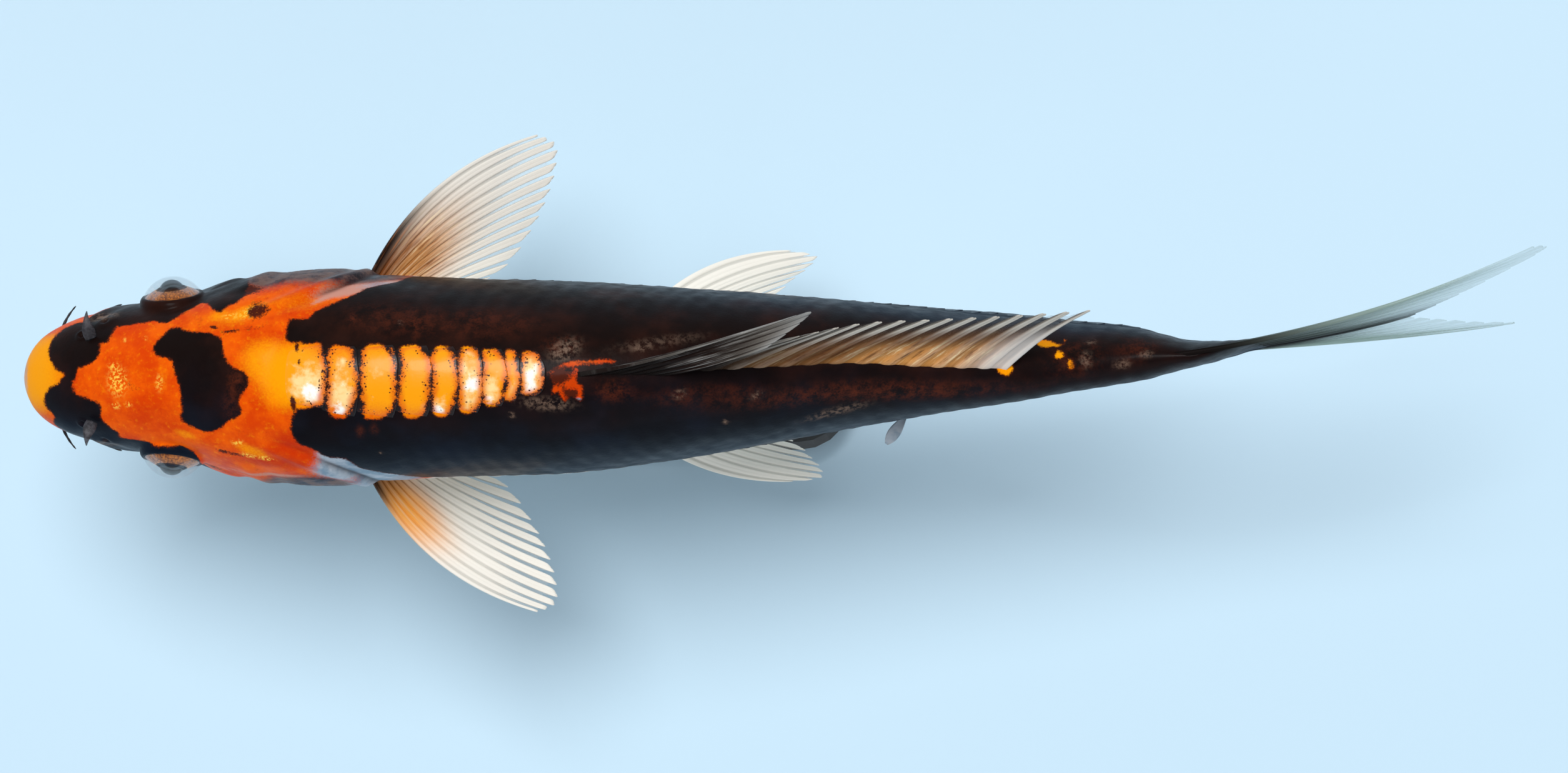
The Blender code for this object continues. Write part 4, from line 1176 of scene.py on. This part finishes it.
# ---------------------------------------------------------------- fins, as in the solids
class Fin(NamedTuple):
    """A fin's form. Root, margin and bows are in millimetres, with x from the model's origin."""

    root: list
    margin: list
    bows: tuple  # how far the first and the last ray bend off a straight line
    bow_fade: float  # power by which the bows die out across the fin
    rays: int
    slots: tuple  # where the open slots begin on the first and on the last ray
    tints: dict = {}  # soft patches of each colour: places and sizes as shares across and along
    breadth: tuple = (0.27, 0.38)  # half width of a ray at root and tip, over the rays' spacing
    notch: float = 0.045  # how far the margin is cut in between the rays
    fade: float = 0.0  # how see-through the fin gets towards its margin
    finish: str = "white"
    base: tuple = ()  # height and width of its fleshy base


def along_back(places, sink):
    """A root line along the back, sunk into it."""
    at = np.array(places) + ORIGIN_X
    z = sections(at)[1]
    return np.stack([places, spine_y(at) + lean(at) * z, z - sink], -1)


def mirrored(fin, spread):
    """The same fin on the left, spread out less by a share."""
    root, margin, bows = (np.array(part) * [1, -spread, 1] for part in fin[:3])
    return fin._replace(root=root, margin=margin, bows=bows)


PECTORAL = Fin(
    root=[(-23, 11, -10), (-21, 10, -12.2), (-18.5, 8.8, -14.2)],
    margin=[
        (3.5, 35.9, -11), (6.2, 34.4, -11.6), (6.1, 30.6, -12.2), (4.8, 26.4, -13),
        (2.6, 22, -13.8), (-1.2, 16.6, -14.8), (-7.6, 12.7, -15.6),
    ],
    bows=((-6.2, 6.8, 1), (0, 0.8, -0.6)),
    bow_fade=1.6,
    rays=14,
    slots=(0.74, 0.34),
    # The dark patch and the first brown patch at the root are painted shade cast by the body.
    tints={
        "dark": [(0, 0.20, 0.11, 0.26, 1)],
        "brown": [(0.14, 0.12, 0.18, 0.20, 1), (0.42, 0.30, 0.22, 0.12, 0.25)],
        "tan": [(0.40, 0.23, 0.38, 0.32, 1)],
    },
    breadth=(0.40, 0.30),
    base=(0.7, 1.9),
)
# The dark and brown patches at the root of the left pectoral are painted shade cast by the body.
PECTORAL_LEFT_TINTS = {
    "orange": [(0.14, 0.28, 0.25, 0.22, 1)],
    "tan": [(0.36, 0.26, 0.20, 0.20, 0.3)],
    "brown": [(0.24, 0.06, 0.34, 0.16, 1)],
    "dark": [(0, 0.10, 0.08, 0.14, 1)],
}
PELVIC = Fin(
    root=[(15.5, 4.8, -17), (17.5, 3.9, -18), (19.5, 3, -18.6)],
    margin=[
        (40.4, 19, -23.8), (44.6, 18.2, -24.4), (43.6, 16.6, -24.8),
        (41.4, 14.9, -25.2), (38.9, 12.6, -25.4), (34.5, 9, -25.2),
    ],
    bows=((-4.1, 6.9, -1), (0, 0.5, -1)),
    bow_fade=1.6,
    rays=9,
    slots=(0.9, 0.5),
    breadth=(0.39, 0.31),
    base=(0.5, 1.5),
)
PELVIC_LEFT = PELVIC._replace(
    root=[(15.5, -4.8, -17), (17.5, -3.9, -18), (19.5, -3, -18.6)],
    margin=[
        (40.6, -15.5, -24.2), (45.2, -15, -24.8), (45.4, -13.6, -25.2),
        (44, -12, -25.4), (42, -10, -25.4), (37.5, -7.4, -25.2),
    ],
    bows=((-3.6, -5.6, -1), (0, -0.5, -1)),
)
ANAL = Fin(
    root=[(57.5, 1.3, -11.6), (64, 1.9, -10.8), (70.5, 2.4, -9.4)],
    margin=[
        (68.5, -0.6, -29.5), (72.8, -0.4, -28.6), (75.2, 0.2, -25), (77.4, 1, -21), (79, 1.8, -16.8)
    ],
    bows=((-2.4, 0, -1.6), (0, 0, -0.5)),
    bow_fade=1.4,
    rays=8,
    slots=(1, 0.6),
    tints={"orange": [(0.2, 0.1, 0.5, 0.3, 0.7)]},
    base=(0.35, 1.2),
)
DORSAL_FRONT = Fin(
    root=along_back((7.5, 12, 16.5, 21), 1.5),
    margin=[(28, 4.4, 30.2), (42.2, 9, 34), (42.8, 8.4, 33.4), (40.2, 6.3, 32.4), (37.2, 4.2, 31.6)],
    bows=((0, -1, 1.2), (0, -1.4, 1.2)),
    bow_fade=1,
    rays=7,
    slots=(0.9, 0.9),
    tints={
        "black": [(0.5, 0, 3, 0.36, 1)],
        "dark": [(0.5, 0.40, 3, 0.62, 1)],
        "pale": [(0.5, 1.08, 3, 0.20, 0.6)],
    },
    breadth=(0.30, 0.36),
    notch=0.008,
    fade=0.35,
    finish="dark",
    base=(0.3, 1.1),
)
DORSAL_REAR = Fin(
    root=along_back((23.5, 36, 48, 60, 71), 1.2),
    margin=[(41.6, 5.8, 28.6), (51, 7.7, 27.4), (62, 8.3, 25), (73, 8.9, 22), (84, 9.7, 18.8)],
    bows=((0, 0.2, 1.4), (0, 1.8, 0.8)),
    bow_fade=1,
    rays=14,
    slots=(0.30, 0.50),
    tints={
        "dark": [(0, 0.2, 0.20, 0.7, 0.95)],
        "black": [(0, 0, 0.14, 0.4, 0.9), (0.2, 0, 0.8, 0.07, 0.9)],
        "tan": [(0.55, 0.24, 0.46, 0.34, 0.95)],
        "brown": [(0.34, 0.24, 0.18, 0.34, 0.8), (0.60, 0.52, 0.34, 0.18, 0.7)],
        "orange": [(0.62, 0.10, 0.42, 0.08, 0.25)],
        "pale": [(0.98, 0.2, 0.11, 0.4, 0.6)],
    },
    breadth=(0.26, 0.18),
    finish="dark",
    base=(0.3, 1.0),
)
TAIL_UPPER = Fin(
    root=[(94, 3, 9), (95.5, 3.2, 4.6), (96, 3.4, 0)],
    margin=[
        (147, 18.8, 21.6), (149, 18.6, 19.2), (143.4, 15.2, 12.6), (136.6, 11.6, 6), (131, 8.9, 0.05)
    ],
    bows=((0, -4.9, -1.6), (0, -2, 0)),
    bow_fade=1.2,
    rays=9,
    slots=(0.6, 0.5),
    tints={
        "black": [
            (0.5, 0, 3, 0.36, 1), (0, 0, 0.16, 0.44, 1), (1.05, 0.20, 0.80, 0.50, 1),
            (1.05, 0.60, 0.28, 0.70, 1),
        ],
    },
    notch=0.02,
    fade=0.7,
    finish="tail",
)
TAIL_LOWER = TAIL_UPPER._replace(
    root=[(96, 3.4, 0), (95.5, 3.6, -4.6), (94, 3.8, -9)],
    margin=[
        (131, 8.8, -0.05), (136.4, 8.5, -5.8), (142.6, 8.2, -12.4), (148.4, 8.2, -18.6), (146.4, 7.8, -21)
    ],
    bows=((0, -2, 0), (0, -1.4, 1.6)),
    slots=(0.5, 0.6),
    tints={"black": [(0.5, 0, 3, 0.28, 1), (-0.05, 0.25, 0.40, 0.50, 1)]},
)
FINS = {
    "pectoral_fin_right": PECTORAL,
    "pectoral_fin_left": mirrored(PECTORAL, 0.965)._replace(tints=PECTORAL_LEFT_TINTS),
    "pelvic_fin_right": PELVIC,
    "pelvic_fin_left": PELVIC_LEFT,
    "anal_fin": ANAL,
    "dorsal_fin_front": DORSAL_FRONT,
    "dorsal_fin_rear": DORSAL_REAR,
    "tail_fin_upper": TAIL_UPPER,
    "tail_fin_lower": TAIL_LOWER,
}
FIN_TINTS = ("tan", "orange", "brown", "dark", "black", "pale")
COLUMNS_PER_RAY, FIN_ROWS = 16, 66
ROOT_SINK = 0.05  # share of its length that a fin runs on inside the body
# Half thickness of a ray at its root and at its tip, and of the membrane.
RAY_ROOT_HALF, RAY_TIP_HALF, MEMBRANE_HALF = 0.42, 0.16, 0.07


def fan_grid(fin, a, r):
    """The fin's middle surface at shares a across the rays and shares r along them."""
    root, edge = (through(line, a)[:, None] for line in (fin.root, fin.margin))
    first, last = np.array(fin.bows, float)
    a = a[:, None, None]
    bend = (root + edge) / 2 + first * (1 - a) ** fin.bow_fade + last * a**fin.bow_fade
    return bend_through(root, bend, edge, r[..., None]) + [ORIGIN_X, 0, 0]


def ray_profile(off, t, breadth):
    """The bands of the rays, and their branches, which split twice on the way out."""
    wide = breadth[0] + (breadth[1] - breadth[0]) * t
    band = 1 - step_up(off, wide, wide + 0.09)

    def lobes(count):
        return np.abs(np.sin(count * math.pi * (off / wide + 1) / 2)) ** 0.7

    twice, again = step_up(t, 0.30, 0.45), step_up(t, 0.62, 0.76)
    sub = lobes(1) * (1 - twice) + lobes(2) * twice * (1 - again) + lobes(4) * twice * again
    return band, band * (0.35 + 0.65 * sub)


def make_fin(name, fin):
    a = np.linspace(0, 1, (fin.rays - 1) * COLUMNS_PER_RAY + 1)
    t = np.linspace(0, 1, FIN_ROWS)
    place = a * (fin.rays - 1)
    off = place - np.round(place)
    band, sub = ray_profile(np.abs(off)[:, None], t[None], fin.breadth)

    # The margin: cut in between the rays, whose ends are slanted and a little uneven.
    notch = fin.notch * (0.4 + 1.2 * a)
    wave = 0.012 * np.sin(9 * a * fin.rays) * np.sin(5.3 * a * fin.rays + 1)
    slant = np.clip(off / fin.breadth[1], -1, 1)
    reach = 1 - (notch - wave) * (1 - band[:, -1]) - 0.25 * notch * (1 - sub[:, -1])
    reach -= notch * (0.30 * (slant + 1) + 0.15 * slant**4)
    r = -ROOT_SINK + (reach[:, None] + ROOT_SINK) * t

    middle = fan_grid(fin, a, r)
    normal = unit(np.cross(np.gradient(middle, axis=0), np.gradient(middle, axis=1)))
    ray_half = RAY_ROOT_HALF + (RAY_TIP_HALF - RAY_ROOT_HALF) * np.clip(r, 0, 1) ** 0.7
    fleshy = np.maximum(band * (0.55 + 0.45 * sub), 0.8 * (1 - step_up(r, 0.02, 0.16)))
    half = MEMBRANE_HALF + (ray_half - MEMBRANE_HALF) * fleshy
    half *= 1 - 0.55 * step_up(t, 0.9, 1.0)
    offset = normal * half[..., None]

    across = a[:, None]
    opening = np.interp(across, (0, 1), fin.slots)
    fields = {
        "ray": band,
        "sub": sub,
        "length": r * length_of(middle[:, -1] - middle[:, 0])[:, None] + 5,
        "place": place[:, None],
        "slot": step_up(1 - band, 0.3, 0.9) * step_up(r, opening, opening + 0.22),
        "fade": fin.fade * step_up(r, 0.45, 1.0),
    }
    fields.update((tint, patches(fin.tints.get(tint, ()), across, r)) for tint in FIN_TINTS)
    shells = Shells()
    shells.add(middle + offset, middle - offset, fields)
    return shells.make(name)


# ---------------------------------------------------------------- eyes, feelers and flaps
BALL_RADIUS, LENS_RADIUS, LENS_AT = 4.62, 1.95, 2.75  # the lens sits that far out on the axis
CORNEA_EDGE, CORNEA_INNER = 74, 0.972  # degrees off the axis, and share of the outer face
# The iris from the pupil out, as (radius, distance along the axis).
IRIS = (
    (0.0, 3.0), (1.7, 3.1), (1.86, 3.38), (1.98, 3.46), (2.4, 3.36), (3.0, 3.08), (3.6, 2.72), (4.05, 2.36)
)
# Feelers on the right: start, bend and end, and the radii at root and tip.
BARBELS = {
    "lip_barbel": ((4.6, 5.4, -5.6), (5.0, 8.4, -7.6), (7.0, 10.5, -6.8), 0.29, 0.09),
    "corner_barbel": ((8.0, 6.6, -8.2), (9.4, 9.6, -11.5), (13.2, 10.8, -13.4), 0.38, 0.12),
}
FLAPS = {
    "right": ((10.6, 5.6, 8.6), (9.8, 7.8, 10.0), (10.0, 9.6, 9.2)),
    "left": ((10.7, -6.4, 8.2), (9.9, -8.4, 9.6), (9.9, -9.9, 8.6)),
}
FLAP_TAPER, FLAP_FLAT = (0.85, 0.95, 0.80, 0.52, 0.28, 0.06), 0.22


def make_eye(side):
    """The eyeball with its iris, the lens and the clear cornea over them."""

    def turned(name, profile):
        return lathe(f"{name}_{side}", profile, middle_of(f"eye_{side}"), eye_axis(side))

    back = np.radians(np.arange(68, 180, 4))
    ball = BALL_RADIUS * np.stack([np.sin(back), np.cos(back)], -1)
    turn = np.radians(np.linspace(0, 180, 40))
    lens = np.stack([LENS_RADIUS * np.sin(turn), LENS_AT + LENS_RADIUS * np.cos(turn)], -1)
    turn = np.radians(np.linspace(0, CORNEA_EDGE, 40))
    outer = EYE_RADIUS * np.stack([np.sin(turn), CORNEA_BULGE * np.cos(turn)], -1)
    return (
        turned("iris", [*IRIS, *ball, (0.0, -BALL_RADIUS)]),
        turned("lens", lens),
        turned("cornea", [*outer, *CORNEA_INNER * outer[::-1]]),
    )


def make_feelers(paint, flap_paint):
    for side, sign in SIDES.items():
        for name, (*points, root, tip) in BARBELS.items():
            t = np.linspace(0, 1, 40)
            path = bend_through(*(np.array(points) * [1, sign, 1]), t[:, None])
            radii = root + (tip - root) * t**1.2 + 0.02 * np.sin(28 * t)
            radii[-3:] *= (0.9, 0.7, 0.35)
            feeler = make_tube(f"{name}_skin_{side}", path, radii)
            dress(feeler, "dark_feeler", paint, f"{name}_{side}")
        t = np.linspace(0, 1, 30)
        path = bend_through(*FLAPS[side], t[:, None])
        flap = make_tube(f"nostril_flap_skin_{side}", path, through(FLAP_TAPER, t), FLAP_FLAT)
        dress(flap, "dark_feeler", flap_paint, f"nostril_flap_{side}")


# ---------------------------------------------------------------- the fish
FLESH = (
    "head", "gill_cover_right", "gill_cover_left", "upper_lip", "lower_lip",
    "trunk_front", "trunk_rear", "tail_stalk",
)


def dress(piece, slot, paint, *nodes):
    """Gives a piece its finish, and its place in the stead of CAD nodes."""
    paint.finish(piece)
    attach(piece, "root")
    if nodes:
        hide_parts(*nodes)


# Finishes of the fins: the colours of rays, membrane, dark parts and fine lines, how solid the
# membrane is and how much of it is left in the open slots.
WHITE_FINS = (rgb(248, 241, 230), rgb(222, 217, 207), rgb(122, 66, 26), rgb(150, 88, 46), 1.0, 0.10)
DORSAL_FIN = (rgb(216, 208, 196), rgb(96, 84, 76), rgb(70, 34, 18), rgb(150, 146, 142), 0.95, 0.12)
TAIL_FIN = (rgb(176, 192, 180), rgb(142, 166, 160), rgb(60, 56, 60), rgb(84, 84, 84), 0.66, 0.12)


def make_fins():
    paints = {
        "white": fin_paint("white_fins", *WHITE_FINS),
        "dark": fin_paint("dorsal_fin", *DORSAL_FIN),
        "tail": fin_paint("tail_fin", *TAIL_FIN),
    }
    for name, fin in FINS.items():
        slot = "dark_fin_rays" if fin.finish == "dark" else "white_fin_rays"
        dress(make_fin(f"{name}_rays", fin), slot, paints[fin.finish], name)


def make_eyes():
    iris, lens = iris_paint(), plain_paint("lens", rgb(6, 6, 8), rgb(12, 11, 14), 2.0, 0.06, 0.002)
    clear_skin = {"Transmission_Weight": 1.0, "IOR": 1.33, "Alpha": 0.13}
    cornea = Paint("cornea", 0.02, Base_Color=rgb(244, 250, 252), **clear_skin)
    for side in SIDES:
        ball, dome, clear = make_eye(side)
        dress(ball, "eye", iris, f"eye_{side}")
        dress(dome, "eye", lens)
        dress(clear, "eye", cornea)


def make_fish():
    skin = Skin()
    markings = Markings(skin)
    dress(make_skin(skin, markings), "orange_head_skin", skin_paint(), *FLESH)
    big, small = scale_paint("mirror_scales", 0.12, 0.28), scale_paint("small_mirror_scales", 0.06, 0.12)
    dress(make_back_scales(skin, markings), "black_body_skin", big)
    dress(make_small_scales(skin, markings), "black_body_skin", small)
    make_fins()
    make_eyes()
    dull = {"Specular_IOR_Level": 0.25}
    make_feelers(
        plain_paint("feeler_skin", rgb(26, 22, 24), rgb(46, 40, 42), 0.8, 0.42, 0.03, **dull),
        plain_paint("nostril_flap", rgb(44, 42, 46), rgb(74, 72, 77), 0.7, 0.44, 0.04, **dull, Alpha=0.8),
    )


# ---------------------------------------------------------------- stand, floor, light, camera
FLOOR_REACH = 3.0  # half the floor's breadth, in metres
CAMERA_LENS, CAMERA_SENSOR = 180.0, 36.0
VIEW_CENTRE, VIEW_DISTANCE = (0.03963, -0.00132), 1.1441  # in metres, from over the body's axis


def dress_stand():
    paint = stand_paint()
    for name in ("stand_base", "stand_rod_front", "stand_rod_rear"):
        paint.finish(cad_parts[name])


def make_floor():
    mesh = bpy.data.meshes.new("floor")
    corners = [(FLOOR_REACH * x, FLOOR_REACH * y, 0) for x, y in ((-1, -1), (1, -1), (1, 1), (-1, 1))]
    mesh.from_pydata(corners, [], [(0, 1, 2, 3)])
    floor = bpy.data.objects.new("floor", mesh)
    bpy.context.scene.collection.objects.link(floor)
    Paint("pale_floor", 0.6, Base_Color=rgb(196, 222, 238)).finish(floor)


def add_sun(name, towards_light, angle, strength):
    """Soft light from a direction, the same over the whole floor."""
    light = bpy.data.lights.new(name, "SUN")
    light.angle, light.energy = math.radians(angle), strength
    lamp = bpy.data.objects.new(name, light)
    lamp.rotation_euler = Vector(towards_light).to_track_quat("Z", "Y").to_euler()
    bpy.context.scene.collection.objects.link(lamp)


def light_studio():
    """Two suns, and a sky that is brightest at the horizon."""
    add_sun("key", (-0.12, 0.30, 1.0), 26, 2.3)
    add_sun("fill", (0.35, -1.0, 0.45), 60, 0.45)
    world = bpy.data.worlds.new("studio")
    world.use_nodes = True
    n = Nodes(world.node_tree)
    direction = n.node("ShaderNodeTexCoord", {}, "Generated")
    height = n.node("ShaderNodeSeparateXYZ", {0: direction}, "Z")
    fade = {"Value": height, "From Min": 0.1, "From Max": 0.8, "To Min": 0.85, "To Max": 0.25}
    backdrop = n.tree.nodes["Background"].inputs
    n.put((0.84, 0.93, 1.0, 1), backdrop["Color"])
    n.put(n.node("ShaderNodeMapRange", fade), backdrop["Strength"])
    bpy.context.scene.world = world
    bpy.context.scene.view_settings.view_transform = "Standard"


def make_camera():
    camera = bpy.data.cameras.new("camera")
    camera.lens, camera.sensor_width = CAMERA_LENS, CAMERA_SENSOR
    camera.clip_end = 20
    holder = bpy.data.objects.new("camera", camera)
    holder.location = (*VIEW_CENTRE, SNOUT[2] + VIEW_DISTANCE)
    bpy.context.scene.collection.objects.link(holder)
    bpy.context.scene.camera = holder


def main():
    make_camera()
    make_fish()
    dress_stand()
    make_floor()
    light_studio()


main()
